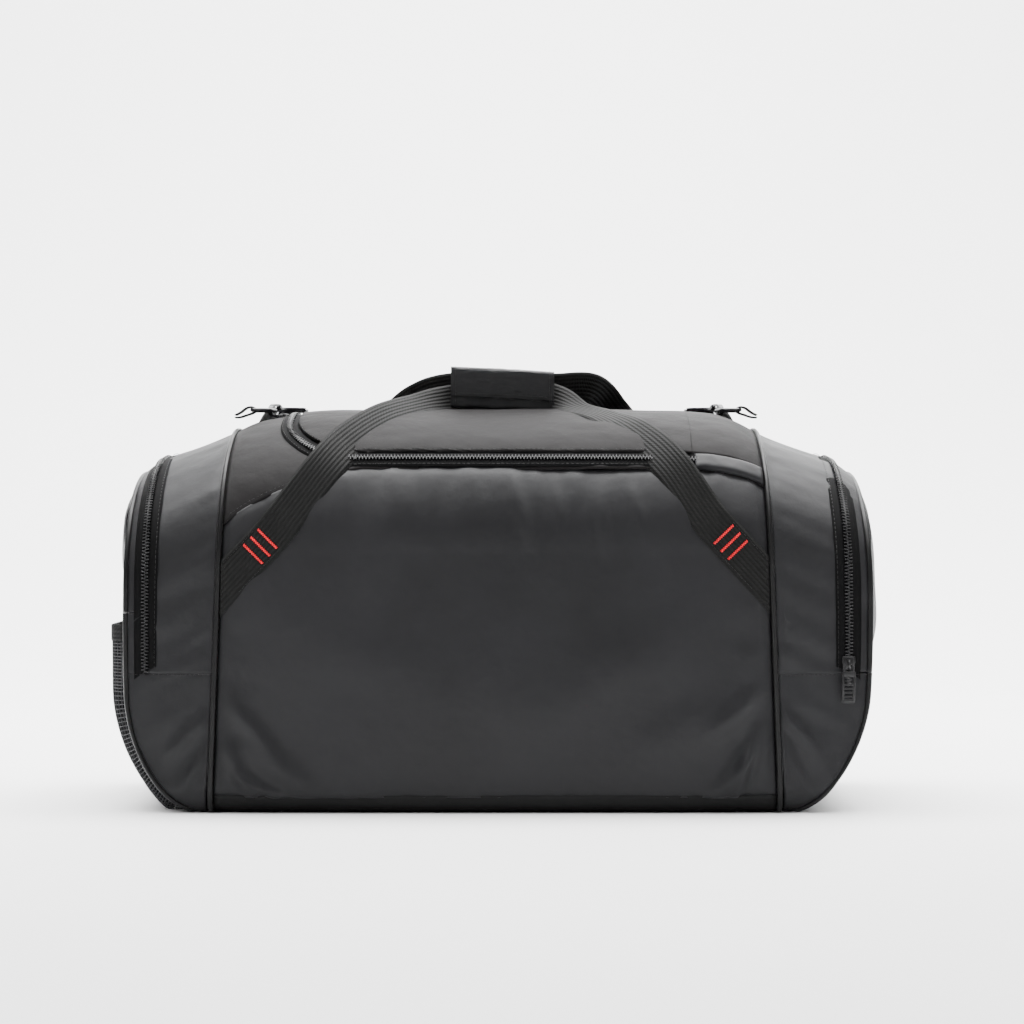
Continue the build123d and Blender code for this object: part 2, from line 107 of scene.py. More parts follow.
def size_at(x):
    """Half depth, height and height of the underside of the bag at x."""
    reach = abs(x)
    if reach <= SEAM_X:
        share = reach / SEAM_X
        return DEPTH - 0.004 * share**4, RIDGE + 0.004 - 0.020 * share**8, 0.0
    share = min(1.0, (reach - SEAM_X) / (END_X - SEAM_X))
    top = (RIDGE - 0.016) * (1 - share) + (END_TOP - 0.006) * share
    depth = SEAM_DEPTH * (1 - share) + END_DEPTH * share
    lift = END_CORNER * (1 - math.sqrt(max(0.0, 1 - share**2)))
    return depth, top - 0.008 * max(0.0, share - 0.75) ** 2 * 16, lift


def profile(x):
    """The section's half outline at x, from the middle of the base to the ridge, with lengths."""
    key = round(x, 4)
    if key in profiles:
        return profiles[key]
    depth, top, _ = size_at(x)
    start = SHOULDER_START * top
    belly = 0.006 * (1 - min(1.0, abs(x) / SEAM_X) ** 4)
    points = [(0.0, 0.0), ((depth - CORNER) / 2, 0.0)]
    for step in range(9):
        turn = math.radians(90 * step / 8)
        points.append(
            (depth - CORNER + CORNER * math.sin(turn), CORNER - CORNER * math.cos(turn))
        )
    for step in range(1, 12):
        height = CORNER + (start - CORNER) * step / 12
        swell = math.sin(math.pi * (step / 12) ** 0.8)
        points.append((depth + belly * swell, height))
    for step in range(61):
        turn = math.radians(90 * step / 60)
        across = depth * math.cos(turn) ** (2 / SHOULDER_POWER)
        up = (top - start) * math.sin(turn) ** (2 / SHOULDER_POWER)
        points.append((across, start + up))
    lengths = [0.0]
    for a, b in zip(points, points[1:]):
        lengths.append(lengths[-1] + math.hypot(b[0] - a[0], b[1] - a[1]))
    profiles[key] = (points, lengths)
    return profiles[key]


def spot(x, reach):
    """A point of the bag's skin and its outward normal. reach is the signed cloth length from the
    ridge down the section, negative to the front; past the base's middle it stops."""
    points, lengths = profile(x)
    level = max(0.0, lengths[-1] - abs(reach))
    side = -1.0 if reach < 0 else 1.0
    low, high = 0, len(lengths) - 1
    while high - low > 1:
        middle = (low + high) // 2
        if lengths[middle] <= level:
            low = middle
        else:
            high = middle
    span = max(1e-9, lengths[high] - lengths[low])
    share = (level - lengths[low]) / span
    a, b = points[low], points[high]
    y = a[0] + (b[0] - a[0]) * share
    z = a[1] + (b[1] - a[1]) * share
    first, last = points[max(0, low - 1)], points[min(len(points) - 1, high + 1)]
    normal = Vector((0, side * (last[1] - first[1]), first[0] - last[0])).normalized()
    return Vector((x, side * y, z)), normal


def reach_at(x, height):
    """The cloth length from the ridge down to a height on the bag's side."""
    points, lengths = profile(x)
    for index in range(2, len(points)):
        if points[index][1] >= height:
            a, b = points[index - 1], points[index]
            share = (height - a[1]) / max(1e-9, b[1] - a[1])
            share = min(1.0, max(0.0, share))
            return lengths[-1] - lengths[index - 1] - share * (lengths[index] - lengths[index - 1])
    return 0.0


def length_to(x, y):
    """The cloth length from the ridge to where the skin is y from the middle."""
    points, lengths = profile(x)
    for index in range(len(points) - 1, 0, -1):
        if points[index][0] >= y:
            a, b = points[index], points[index + 1]
            share = (y - b[0]) / max(1e-9, a[0] - b[0])
            return lengths[-1] - lengths[index + 1] + share * (lengths[index + 1] - lengths[index])
    return lengths[-1]


ZIP_REACH = length_to(0.0, LID_SIDE)


def half_at(depth, top, z):
    """Half depth at a height of a section that is `depth` deep to a side and `top` high."""
    start = SHOULDER_START * top
    share = min(1.0, max(0.0, (z - start) / (top - start)))
    return depth * (1 - share**SHOULDER_POWER) ** (1 / SHOULDER_POWER)


def corner_cut(z):
    """How much the rounded bottom edge takes off the half depth at a height."""
    if z >= CORNER:
        return 0.0
    return CORNER - math.sqrt(max(0.0, CORNER**2 - (CORNER - z) ** 2))


def end_curve(start, along, arc, gap=0.0):
    """X and Z of a place down the outside of an end, and the outward direction there.

    start is the height where the cloth begins, along the length down it and arc the length of
    its rounded part. gap lowers the straight part above that.
    """
    straight = start - END_CORNER
    if along < straight:
        return END_X, start - gap - along, 1.0, 0.0
    turn = math.radians(90 * (along - straight) / arc)
    x = SEAM_X + (END_X - SEAM_X) * math.cos(turn)
    return x, END_CORNER - END_CORNER * math.sin(turn), math.cos(turn), -math.sin(turn)


def end_half(x, z):
    """Half depth of the underside of an end pocket."""
    share = (x - SEAM_X) / (END_X - SEAM_X)
    return SEAM_DEPTH * (1 - share) + END_DEPTH * share - corner_cut(z)


def ripple(x, y, size, seed=0.0):
    """Smooth noise between -1 and 1 with features of about the given size."""
    return noise.noise(Vector((x / size, y / size, seed * 7.31 + 0.5)))


def crease(x, y, start, end, width, height):
    """A soft fold between two points of the cloth that dies out at both ends."""
    ax, ay = start
    dx, dy = end[0] - ax, end[1] - ay
    length = math.hypot(dx, dy)
    along = ((x - ax) * dx + (y - ay) * dy) / length**2
    if along < -0.2 or along > 1.2:
        return 0.0
    off = ((x - ax) * dy - (y - ay) * dx) / length
    off += 0.3 * width * ripple(along * length, off, 0.06, start[0] * 9)
    fade = math.sin(math.pi * (along + 0.2) / 1.4) ** 1.5
    return height * fade * math.exp(-((off / width) ** 2))


def settle(place):
    """Lean of the end seams and outward belly of the end pockets of the filled bag."""
    reach, side = abs(place.x), 1 if place.x > 0 else -1
    if reach <= SEAM_X:
        lean = max(0.0, (reach - 0.17) / (SEAM_X - 0.17))
    else:
        lean = max(0.0, 1 - (reach - SEAM_X) / (END_X - SEAM_X))
    shift = lean * (0.0065 - 0.037 * place.z)
    if reach > 0.30:
        height = min(1.0, max(0.0, (place.z - 0.03) / 0.35))
        belly = math.sin(math.pi * height) ** 0.8
        shift += (0.0105 if side > 0 else 0.0045) * belly * ((reach - 0.30) / 0.066) ** 1.5
    return Vector((place.x + side * shift, place.y, place.z))


# Building tools ----------------------------------------------------------------


def finish_piece(
    name, shape, body, look, replaces=(), smooth=True, settled=True, wall=None, offset=-1.0
):
    """Turn a bmesh into a piece that rides on a body, or, for a tuple, stays unparented where it was
    made.

    look is the key of its material. wall is the thickness of an open cloth, which grows inward,
    or to both sides with an offset of 0.
    """
    if settled:
        for vertex in shape.verts:
            vertex.co = settle(vertex.co)
    mesh = bpy.data.meshes.new(name)
    shape.to_mesh(mesh)
    shape.free()
    piece = bpy.data.objects.new(name, mesh)
    bpy.context.collection.objects.link(piece)
    mesh.materials.append(material_for(look))
    if smooth:
        mesh.shade_smooth()
    if isinstance(body, tuple):
        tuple(body[2])
        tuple(body[3])
        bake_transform(piece)
    else:
        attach(piece, body)
    if replaces:
        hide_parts(*replaces)
    if wall:
        thickness = piece.modifiers.new("Cloth thickness", "SOLIDIFY")
        thickness.thickness = wall
        thickness.offset = offset
    return piece


def refinish(nodes, look):
    """Give CAD pieces that stay in view their final material."""
    for node in nodes:
        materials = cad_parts[node].data.materials
        materials.clear()
        materials.append(material_for(look))


def add_patch(target, columns, rows, size, place):
    """Add a grid of cloth to a bmesh, and return its vertices with their u and v.

    place(u, v) gives each point for u and v from 0 to 1. size is the cloth's own, for its UV map.
    """
    layer = target.loops.layers.uv.get("cloth") or target.loops.layers.uv.new("cloth")
    made = bmesh.ops.create_grid(target, x_segments=columns, y_segments=rows, size=0.5)
    corners = {vertex: (vertex.co.x + 0.5, vertex.co.y + 0.5) for vertex in made["verts"]}
    for face in {face for vertex in corners for face in vertex.link_faces}:
        for loop in face.loops:
            u, v = corners[loop.vert]
            loop[layer].uv = (u * size[0], v * size[1])
    for vertex, (u, v) in corners.items():
        vertex.co = place(u, v)
    return corners


def face_outward(target, centre=(0, 0, 0.19)):
    """Turn each separate sheet of an open cloth so that it looks away from a point."""
    middle = Vector(centre)
    target.normal_update()
    seen = set()
    for first in target.faces:
        if first in seen:
            continue
        seen.add(first)
        sheet = [first]
        for face in sheet:
            for edge in face.edges:
                for other in edge.link_faces:
                    if other not in seen:
                        seen.add(other)
                        sheet.append(other)
        total = sum(
            face.normal.dot(face.calc_center_median() - middle) * face.calc_area() for face in sheet
        )
        if total < 0:
            bmesh.ops.reverse_faces(target, faces=sheet)


def add_ribbon(target, points, acrosses, width, normals=None, thickness=0.0016):
    """Add a strap along points: a closed flat tube with thin edges and lengthwise UVs.

    Returns its length.
    """
    layer = target.loops.layers.uv.get("cloth") or target.loops.layers.uv.new("cloth")
    half = width / 2
    steps = 10
    outline = [(-half + width * step / steps, thickness / 2) for step in range(steps + 1)]
    outline += [(half - width * step / steps, -thickness / 2) for step in range(steps + 1)]
    count = len(outline)
    travelled = 0.0
    rings = []
    for index, point in enumerate(points):
        before = points[max(0, index - 1)]
        after = points[min(len(points) - 1, index + 1)]
        along = (after - before).normalized()
        across = acrosses[index]
        across = (across - along * across.dot(along)).normalized()
        normal = along.cross(across).normalized()
        if normals is not None and normal.dot(normals[index]) < 0:
            normal.negate()
        if index:
            travelled += (point - before).length
        ring = []
        for side, height in outline:
            trim = 0.55 if abs(abs(side) - half) < 1e-6 else 1.0
            place = point + across * side + normal * height * trim
            ring.append((target.verts.new(place), travelled, side + half))
        rings.append(ring)
    quads = [
        (first[index], first[index + 1 - count], second[index + 1 - count], second[index])
        for first, second in zip(rings, rings[1:])
        for index in range(count)
    ]
    for corners in quads + [rings[0], rings[-1]]:
        face = target.faces.new([vertex for vertex, _, _ in corners])
        for loop, (_, u, v) in zip(face.loops, corners):
            loop[layer].uv = (u, v)
    return travelled


def add_tube(target, points, radius, closed=False, sides=8):
    """Add a round tube along points."""
    circles = []
    count = len(points)
    reference = None
    for index, point in enumerate(points):
        if closed:
            before, after = points[index - 1], points[(index + 1) % count]
        else:
            before, after = points[max(0, index - 1)], points[min(count - 1, index + 1)]
        along = (after - before).normalized()
        if reference is None:
            reference = along.orthogonal().normalized()
        reference = (reference - along * reference.dot(along)).normalized()
        other = along.cross(reference)
        ring = []
        for step in range(sides):
            turn = 2 * math.pi * step / sides
            offset = reference * math.cos(turn) + other * math.sin(turn)
            ring.append(target.verts.new(point + offset * radius))
        circles.append(ring)
    pairs = list(zip(circles, circles[1:]))
    if closed:
        pairs.append((circles[-1], circles[0]))
    for first, second in pairs:
        for step in range(sides):
            following = (step + 1) % sides
            target.faces.new((first[step], first[following], second[following], second[step]))
    if not closed:
        target.faces.new(circles[0][::-1])
        target.faces.new(circles[-1])


def soften(target, vertices, bevel, segments):
    """Bevel all the edges of a separate block."""
    edges = list({edge for vertex in vertices for edge in vertex.link_edges})
    bmesh.ops.bevel(
        target, geom=edges, offset=bevel, offset_type="OFFSET", segments=segments,
        affect="EDGES", profile=0.5, material=-1,
    )


def add_block(target, centre, size, bevel=0.0005, segments=2):
    """Add a block with rounded edges."""
    made = bmesh.ops.create_cube(target, size=1.0)
    shape = Matrix.Translation(centre) @ Matrix.Diagonal((*size, 1.0))
    bmesh.ops.transform(target, matrix=shape, verts=made["verts"])
    soften(target, made["verts"], bevel, segments)


def add_thread(target, start, end, radius, normal):
    """Add one stitch: a stretched bead of thread between two points."""
    along = end - start
    length = along.length
    along.normalize()
    across = normal.cross(along).normalized()
    turn = Matrix((along, across, along.cross(across))).transposed().to_4x4()
    place = Matrix.Translation((start + end) / 2 + normal * radius * 0.4)
    made = bmesh.ops.create_icosphere(target, subdivisions=1, radius=1.0)
    shape = Matrix.Diagonal((length / 2, radius, radius, 1.0))
    bmesh.ops.transform(target, matrix=place @ turn @ shape, verts=made["verts"])


def add_stitches(target, line, normals, pitch=0.0042):
    """Add a row of stitches along a line of points."""
    start, start_normal = line[0], normals[0]
    for index in range(1, len(line)):
        if (line[index] - start).length >= pitch - STITCH_GAP:
            add_thread(target, start, line[index], STITCH_RADIUS, start_normal)
            following = min(len(line) - 1, index + 1)
            start, start_normal = line[following], normals[following]


def skin_line(places, lift, puff=None):
    """Points over the skin at flat places (x, reach), lifted off it, and their normals."""
    line, facing = [], []
    for x, reach in places:
        point, normal = spot(x, reach)
        line.append(point + normal * (lift + (puff(x, reach) if puff else 0.0)))
        facing.append(normal)
    return line, facing


def smooth_run(stations, count):
    """Points, across directions and normals along a smooth line through hand-set stations."""
    result = ([], [], [])
    spans = len(stations) - 1
    for step in range(count):
        place = spans * step / (count - 1)
        index = min(spans - 1, int(place))
        t = place - index
        four = [stations[max(0, min(spans, index + k))] for k in (-1, 0, 1, 2)]
        weights = (
            (-t + 2 * t * t - t**3) / 2,
            (2 - 5 * t * t + 3 * t**3) / 2,
            (t + 4 * t * t - 3 * t**3) / 2,
            (t**3 - t * t) / 2,
        )
        for kind in range(3):
            value = Vector((0, 0, 0))
            for weight, station in zip(weights, four):
                value += weight * Vector(station[kind])
            result[kind].append(value if kind == 0 else value.normalized())
    return result


# Materials ---------------------------------------------------------------------


def new_material(name, roughness, sheen=0.0, coat=0.0, metallic=0.0, specular=0.5):
    """A material with constants set on its shader, its node tree and its shader."""
    material = bpy.data.materials.new(name)
    material.use_nodes = True
    shader = material.node_tree.nodes["Principled BSDF"]
    shader.inputs["Roughness"].default_value = roughness
    shader.inputs["Sheen Weight"].default_value = sheen
    shader.inputs["Sheen Roughness"].default_value = 0.45
    shader.inputs["Coat Weight"].default_value = coat
    shader.inputs["Metallic"].default_value = metallic
    shader.inputs["Specular IOR Level"].default_value = specular
    return material, material.node_tree, shader


def object_place(tree):
    """Coordinates that stay with the piece."""
    return tree.nodes.new("ShaderNodeTexCoord").outputs["Object"]


def cloth_place(tree):
    """Coordinates along the cloth, in metres, from its UV map."""
    uv = tree.nodes.new("ShaderNodeUVMap")
    uv.uv_map = "cloth"
    return uv.outputs["UV"]


def add_noise(tree, place, scale, detail=2.0):
    """Soft noise."""
    cloud = tree.nodes.new("ShaderNodeTexNoise")
    cloud.inputs["Scale"].default_value = scale
    cloud.inputs["Detail"].default_value = detail
    tree.links.new(place, cloud.inputs["Vector"])
    return cloud.outputs["Fac"]


def add_wave(tree, place, period, direction):
    """Fine straight ribs with a period in metres."""
    bands = tree.nodes.new("ShaderNodeTexWave")
    bands.wave_type = "BANDS"
    bands.bands_direction = direction
    bands.wave_profile = "SIN"
    bands.inputs["Scale"].default_value = 0.31416 / period
    tree.links.new(place, bands.inputs["Vector"])
    return bands.outputs["Fac"]


def add_math(tree, operation, first, second):
    """Two values combined."""
    node = tree.nodes.new("ShaderNodeMath")
    node.operation = operation
    tree.links.new(first, node.inputs[0])
    tree.links.new(second, node.inputs[2 if operation == "MULTIPLY_ADD" else 1])
    return node


def add_bump(tree, height, strength, distance, normal=None):
    """Relief from a height, on top of another relief if one is given."""
    bump = tree.nodes.new("ShaderNodeBump")
    bump.inputs["Strength"].default_value = strength
    bump.inputs["Distance"].default_value = distance
    tree.links.new(height, bump.inputs["Height"])
    if normal is not None:
        tree.links.new(normal, bump.inputs["Normal"])
    return bump.outputs["Normal"]


def blotch(tree, shader, color, spread, scale, place, rough=None):
    """Vary the base colour, and the roughness between two values, with soft noise."""
    cloud = add_noise(tree, place, scale, 4.0)
    ramp = tree.nodes.new("ShaderNodeValToRGB")
    shades = ((0.32, 1 - spread), (0.7, 1 + spread))
    for element, (position, share) in zip(ramp.color_ramp.elements, shades):
        element.position = position
        element.color = [min(1, c * share) for c in color[:3]] + [1]
    tree.links.new(cloud, ramp.inputs["Fac"])
    tree.links.new(ramp.outputs["Color"], shader.inputs["Base Color"])
    if rough:
        remap = tree.nodes.new("ShaderNodeMapRange")
        remap.inputs["To Min"].default_value = rough[0]
        remap.inputs["To Max"].default_value = rough[1]
        tree.links.new(cloud, remap.inputs["Value"])
        tree.links.new(remap.outputs["Result"], shader.inputs["Roughness"])


def cloth_material(
    name, color, roughness, weave=0.0009, depth=0.00006, sheen=0.02, puff=0.0, specular=0.18
):
    """Woven cloth: crossed fine ribs, soft colour variation and small irregular puckers."""
    material, tree, shader = new_material(name, roughness, sheen=sheen, specular=specular)
    place, uv = object_place(tree), cloth_place(tree)
    blotch(tree, shader, color, 0.14, 9.0, place, (roughness - 0.05, roughness + 0.06))
    warp, weft = add_wave(tree, uv, weave, "X"), add_wave(tree, uv, weave, "Y")
    cross = add_math(tree, "MULTIPLY", warp, weft)
    threads = add_bump(tree, cross.outputs["Value"], 0.6, depth)
    puckers = add_bump(tree, add_noise(tree, place, 55.0, 3.0), 0.5, 0.0012 + puff, threads)
    tree.links.new(puckers, shader.inputs["Normal"])
    return material


def webbing_material(name, color):
    """Ribbed webbing: nine lengthwise ribs crossed by a fine herringbone, with painted shade in the
    grooves between the ribs.
    """
    material, tree, shader = new_material(name, 0.65, sheen=0.02, specular=0.12)
    uv = cloth_place(tree)
    ribs = add_wave(tree, uv, WEBBING / 9, "Y")
    relief = add_math(tree, "MULTIPLY_ADD", add_wave(tree, uv, 0.0016, "X"), ribs)
    relief.inputs[1].default_value = 0.35
    coarse = add_bump(tree, relief.outputs["Value"], 0.9, 0.0005)
    fine = add_bump(tree, add_wave(tree, uv, 0.0022, "DIAGONAL"), 0.5, 0.0002, coarse)
    tree.links.new(fine, shader.inputs["Normal"])
    # Painted shade and light: the base colour darkens in the grooves between the ribs and lightens on
    # their crests, following the rib relief.
    ramp = tree.nodes.new("ShaderNodeValToRGB")
    for element, share in zip(ramp.color_ramp.elements, (0.55, 1.35)):
        element.color = [c * share for c in color[:3]] + [1]
    tree.links.new(ribs, ramp.inputs["Fac"])
    tree.links.new(ramp.outputs["Color"], shader.inputs["Base Color"])
    return material


def hard_material(name, color, roughness, depth=0.00005, metallic=0.0, coat=0.0):
    """Moulded plastic or metal with a fine grain and slight handling wear."""
    material, tree, shader = new_material(
        name, roughness, metallic=metallic, coat=coat, specular=0.25
    )
    place = object_place(tree)
    wear = (max(0.03, roughness - 0.06), roughness + 0.1)
    blotch(tree, shader, color, 0.12, 60.0, place, wear)
    grain = add_bump(tree, add_noise(tree, place, 700.0), 0.35, depth)
    tree.links.new(grain, shader.inputs["Normal"])
    return material


def thread_material(name, color):
    """Twisted thread."""
    material, tree, shader = new_material(name, 0.5, sheen=0.05, specular=0.2)
    place = object_place(tree)
    blotch(tree, shader, color, 0.2, 400.0, place)
    twist = add_bump(tree, add_noise(tree, place, 2500.0), 0.5, 0.0001)
    tree.links.new(twist, shader.inputs["Normal"])
    return material


def floor_material(name, color):
    """A pale matt studio floor with barely seen unevenness."""
    material, tree, shader = new_material(name, 0.85, specular=0.2)
    blotch(tree, shader, color, 0.01, 2.0, object_place(tree))
    return material


MATERIALS = {}


def material_for(key):
    """The bag's materials, each made once."""
    if key in MATERIALS:
        return MATERIALS[key]
    cloth = bpy.context.scene.bag_cloth
    makers = {
        "body": lambda: cloth_material("Body cloth", cloth.body_color, 0.48),
        # The lid cloth's darker tone is painted shade that offsets the strong light from above.
        "lid": lambda: cloth_material("Lid cloth", cloth.lid_shaded_color, 0.62, puff=0.0006, specular=0.10),
        "base": lambda: cloth_material("Base cloth", cloth.base_color, 0.6, weave=0.0012, sheen=0.0),
        "lining": lambda: cloth_material("Lining cloth", cloth.lining_color, 0.7, sheen=0.1),
        "grip": lambda: cloth_material("Grip cloth", cloth.grip_color, 0.42, sheen=0.05),
        "piping": lambda: cloth_material("Piping satin", cloth.piping_color, 0.38, depth=0.00003),
        "tape": lambda: cloth_material(
            "Zip tape", cloth.piping_color, 0.75, weave=0.0007, sheen=0.0, specular=0.06
        ),
        "binding": lambda: webbing_material("Elastic binding", cloth.piping_color),
        "webbing": lambda: webbing_material("Webbing", cloth.webbing_color),
        "thread": lambda: thread_material("Black thread", cloth.thread_color),
        "red": lambda: thread_material("Red thread", cloth.tack_color),
        "mesh": lambda: thread_material("Mesh yarn", cloth.yarn_color),
        "teeth": lambda: hard_material("Moulded teeth", (0.006, 0.006, 0.0065), 0.25, coat=0.06),
        "slider": lambda: hard_material("Black enamel", (0.007, 0.007, 0.0075), 0.28, coat=0.15),
        "pull": lambda: hard_material("Moulded pull", (0.009, 0.009, 0.0095), 0.42),
        "hook": lambda: hard_material(
            "Black nickel", (0.035, 0.035, 0.037), 0.22, depth=0.00001, metallic=0.85, coat=0.5
        ),
        "board": lambda: hard_material("Fluted board", (0.03, 0.03, 0.03), 0.6),
        "pad": lambda: cloth_material("Pad cloth", cloth.grip_color, 0.65, puff=0.001),
    }
    MATERIALS[key] = makers[key]()
    return MATERIALS[key]


# Panels ------------------------------------------------------------------------


def upper_seam(x):
    """The cloth length from the ridge to the seam at the top of the front and back panels."""
    even = ZIP_REACH + 0.0105
    if x < -0.135:
        share = min(1.0, (-0.135 - x) / 0.142)
        return even + 0.044 * share**1.1
    return even


PANEL_FOLDS = (
    ((-0.276, 0.082), (-0.238, 0.016), 0.008, 0.0070),
    ((-0.276, 0.125), (-0.215, 0.055), 0.009, 0.0045),
    ((-0.250, 0.070), (-0.180, 0.020), 0.013, 0.0045),
    ((-0.262, 0.040), (-0.205, 0.012), 0.006, 0.0040),
    ((0.262, 0.085), (0.236, 0.016), 0.0065, 0.0085),
    ((0.274, 0.100), (0.258, 0.022), 0.0055, 0.0075),
    ((0.252, 0.062), (0.216, 0.014), 0.0075, 0.0060),
    ((0.275, 0.130), (0.205, 0.072), 0.010, 0.0045),
    ((0.240, 0.110), (0.150, 0.060), 0.022, 0.0030),
    ((0.02, 0.333), (0.035, 0.27), 0.007, 0.0022),
    ((0.06, 0.333), (0.066, 0.285), 0.006, 0.0018),
    ((0.105, 0.333), (0.112, 0.262), 0.008, 0.0022),
    ((0.135, 0.333), (0.150, 0.285), 0.006, 0.0016),
    ((-0.10, 0.330), (-0.135, 0.21), 0.020, 0.0022),
    ((-0.21, 0.19), (-0.05, 0.12), 0.028, 0.0022),
    ((0.21, 0.20), (0.06, 0.10), 0.03, 0.0024),
    ((0.0, 0.21), (0.02, 0.05), 0.035, 0.0018),
)


def panel_wrinkles(x, z, side):
    """How far the front (side -1) or back (1) panel stands out of its smooth shape."""
    seed = 1.0 if side < 0 else 5.0
    edge = min(1.0, (PANEL_X - abs(x)) / 0.03)
    out = 0.0030 * ripple(x, z, 0.17, seed) + 0.0014 * ripple(x, z * 0.7, 0.055, seed + 2)
    near_zip = max(0.0, 1 - abs(z - 0.335) / 0.05)
    out += 0.0016 * near_zip * ripple(x, z * 0.15, 0.012, seed + 3)
    near_base = max(0.0, 1 - (z - 0.016) / 0.05)
    out += 0.0012 * near_base * ripple(x, z * 0.2, 0.016, seed + 4)
    near_side = max(0.0, 1 - (PANEL_X - abs(x)) / 0.05)
    out += 0.0022 * near_side * ripple(x * 0.2, z, 0.022, seed + 6)
    for start, end, width, height in PANEL_FOLDS:
        out += crease(x, z, (-side * start[0], start[1]), (-side * end[0], end[1]), width, height)
    return out * edge


def build_panels():
    """Front, back and base panels of the main compartment."""
    for name, side in (("front_panel", -1), ("back_panel", 1)):
        cloth = bmesh.new()

        def place(u, v, side=side):
            x = -PANEL_X + 2 * PANEL_X * u
            low, high = reach_at(x, BASE_TOP), upper_seam(x)
            point, normal = spot(x, side * (low + (high - low) * v))
            pinch = 0.0022 * math.exp(-((PANEL_X - abs(x)) / 0.008) ** 2)
            pinch += 0.0012 * math.exp(-(((1 - v) / 0.02) ** 2))
            return point + normal * (panel_wrinkles(x, point.z, side) - pinch)

        add_patch(cloth, 230, 140, (2 * PANEL_X, 0.34), place)
        face_outward(cloth)
        finish_piece(f"{name}_cloth", cloth, "bag", "body", (name,), wall=PANEL_WALL)

    def base_place(u, v):
        x = -PANEL_X + 2 * PANEL_X * u
        across = 2 * v - 1
        low, total = reach_at(x, BASE_TOP + 0.002), profile(x)[1][-1]
        side = -1 if across < 0 else 1
        point, normal = spot(x, side * (total - abs(across) * (total - low)))
        return point + normal * (0.0002 - 0.0006 * abs(ripple(x, point.y, 0.05, 8)))

    base = bmesh.new()
    add_patch(base, 90, 90, (2 * PANEL_X, 0.42), base_place)
    face_outward(base)
    finish_piece("base_cloth", base, "bag", "base", ("base_panel",), wall=PANEL_WALL)
    refinish(["base_board"], "board")


def in_lid(x, reach, grow=0.0):
    """Whether a place of the cloth lies inside the lid's outline grown by a margin."""
    half = ZIP_REACH + grow
    left = LID_LEFT - grow
    radius = LID_RADIUS + grow
    if x > LID_RIGHT or x < left or abs(reach) > half:
        return False
    dx, dy = left + radius - x, abs(reach) - (half - radius)
    return not (dx > 0 and dy > 0 and math.hypot(dx, dy) > radius)


def build_top():
    """Top panels round the lid, from the front seam over the ridge to the back seam."""

    def flat(u, v):
        """The place on the flat cloth: X and the length from the ridge."""
        x = -PANEL_X + 2 * PANEL_X * u
        limit = upper_seam(x) + 0.002
        return x, -limit + 2 * limit * v

    def place(u, v):
        x, reach = flat(u, v)
        point, normal = spot(x, reach)
        if x > LID_RIGHT - 0.02 and abs(reach) < ZIP_REACH - 0.009:
            edge = min(1.0, (PANEL_X - x) / 0.04)
            return point + normal * (lid_puff(x, reach) * edge - 0.0002)
        edge = min(1.0, (PANEL_X - abs(x)) / 0.02)
        dip = 0.0008 * ripple(x, reach, 0.03, 11) + 0.0022 * ripple(x, reach, 0.11, 12)
        fine = 0.0011 * ripple(x * 0.3, reach, 0.014, 13) * math.exp(-((PANEL_X - abs(x)) / 0.02))
        return point + normal * ((dip + fine) * edge - 0.0004)

    cloth = bmesh.new()
    corners = add_patch(cloth, 185, 140, (2 * PANEL_X, 0.45), place)
    inside = [
        face for face in cloth.faces
        if all(in_lid(*flat(*corners[vertex]), 0.003) for vertex in face.verts)
    ]
    bmesh.ops.delete(cloth, geom=inside, context="FACES")
    face_outward(cloth)
    finish_piece(
        "top_cloth", cloth, "bag", "lid", ("top_panel_left", "top_panel_right"),
        wall=0.0020,
    )


def lid_edge(reach):
    """Left limit of the lid at a cloth length from the ridge."""
    over = abs(reach) - (ZIP_REACH - LID_RADIUS)
    if over <= 0:
        return LID_LEFT
    return LID_LEFT + LID_RADIUS - math.sqrt(max(0.0, LID_RADIUS**2 - over**2))


def lid_puff(x, reach):
    """How far the padded lid stands out, with puckers along its seams."""
    over_left = x - lid_edge(reach)
    over_side = ZIP_REACH - abs(reach)
    edge = max(0.0, min(over_left, over_side))
    puff = 0.0045 * (1 - math.exp(-edge / 0.012))
    pucker = math.exp(-edge / 0.016)
    along = x if over_side < over_left else reach
    puff += 0.0011 * pucker * ripple(along, edge * 0.2, 0.009, 21)
    puff += 0.0019 * ripple(x, reach, 0.10, 22) * (1 - pucker)
    puff += 0.0006 * ripple(x, reach * 2, 0.035, 23)
    return puff


def build_lid():
    """The padded lid of the main compartment."""
    half = ZIP_REACH - SEAM_GAP

    def place(u, v):
        reach = -half + 2 * half * v
        left = lid_edge(reach * (ZIP_REACH / half)) + SEAM_GAP
        x = left + (LID_RIGHT + 0.004 - left) * u
        point, normal = spot(x, reach)
        return point + normal * (0.0003 + lid_puff(x, reach))

    cloth = bmesh.new()
    add_patch(cloth, 190, 140, (0.43, 2 * half), place)
    face_outward(cloth)
    piece = finish_piece("lid_cloth", cloth, LID_FOLD, "lid", ("main_lid",), wall=0.0050)


# Zips --------------------------------------------------------------------------


def lid_route(step):
    """Places along the lid's zip on the flat cloth, with the direction away from the lid."""
    straight = LID_LEFT + LID_RADIUS
    low = -(ZIP_REACH - LID_RADIUS)
    places = []
    x = ZIP_STOP - 0.002
    while x > straight:
        places.append((x, -ZIP_REACH, 0.0, -1.0))
        x -= step
    turns = int(LID_RADIUS * math.pi / 2 / step)
    for index in range(turns):
        turn = math.radians(90 * index / turns)
        away = (-math.sin(turn), -math.cos(turn))
        places.append(
            (straight + away[0] * LID_RADIUS, low + away[1] * LID_RADIUS, away[0], away[1])
        )
    reach = low
    while reach < -low:
        places.append((LID_LEFT, reach, -1.0, 0.0))
        reach += step
    for index in range(turns):
        turn = math.radians(90 * index / turns)
        away = (-math.cos(turn), math.sin(turn))
        places.append(
            (straight + away[0] * LID_RADIUS, -low + away[1] * LID_RADIUS, away[0], away[1])
        )
    x = straight
    while x < ZIP_STOP - 0.002:
        places.append((x, ZIP_REACH, 0.0, 1.0))
        x += step
    return places


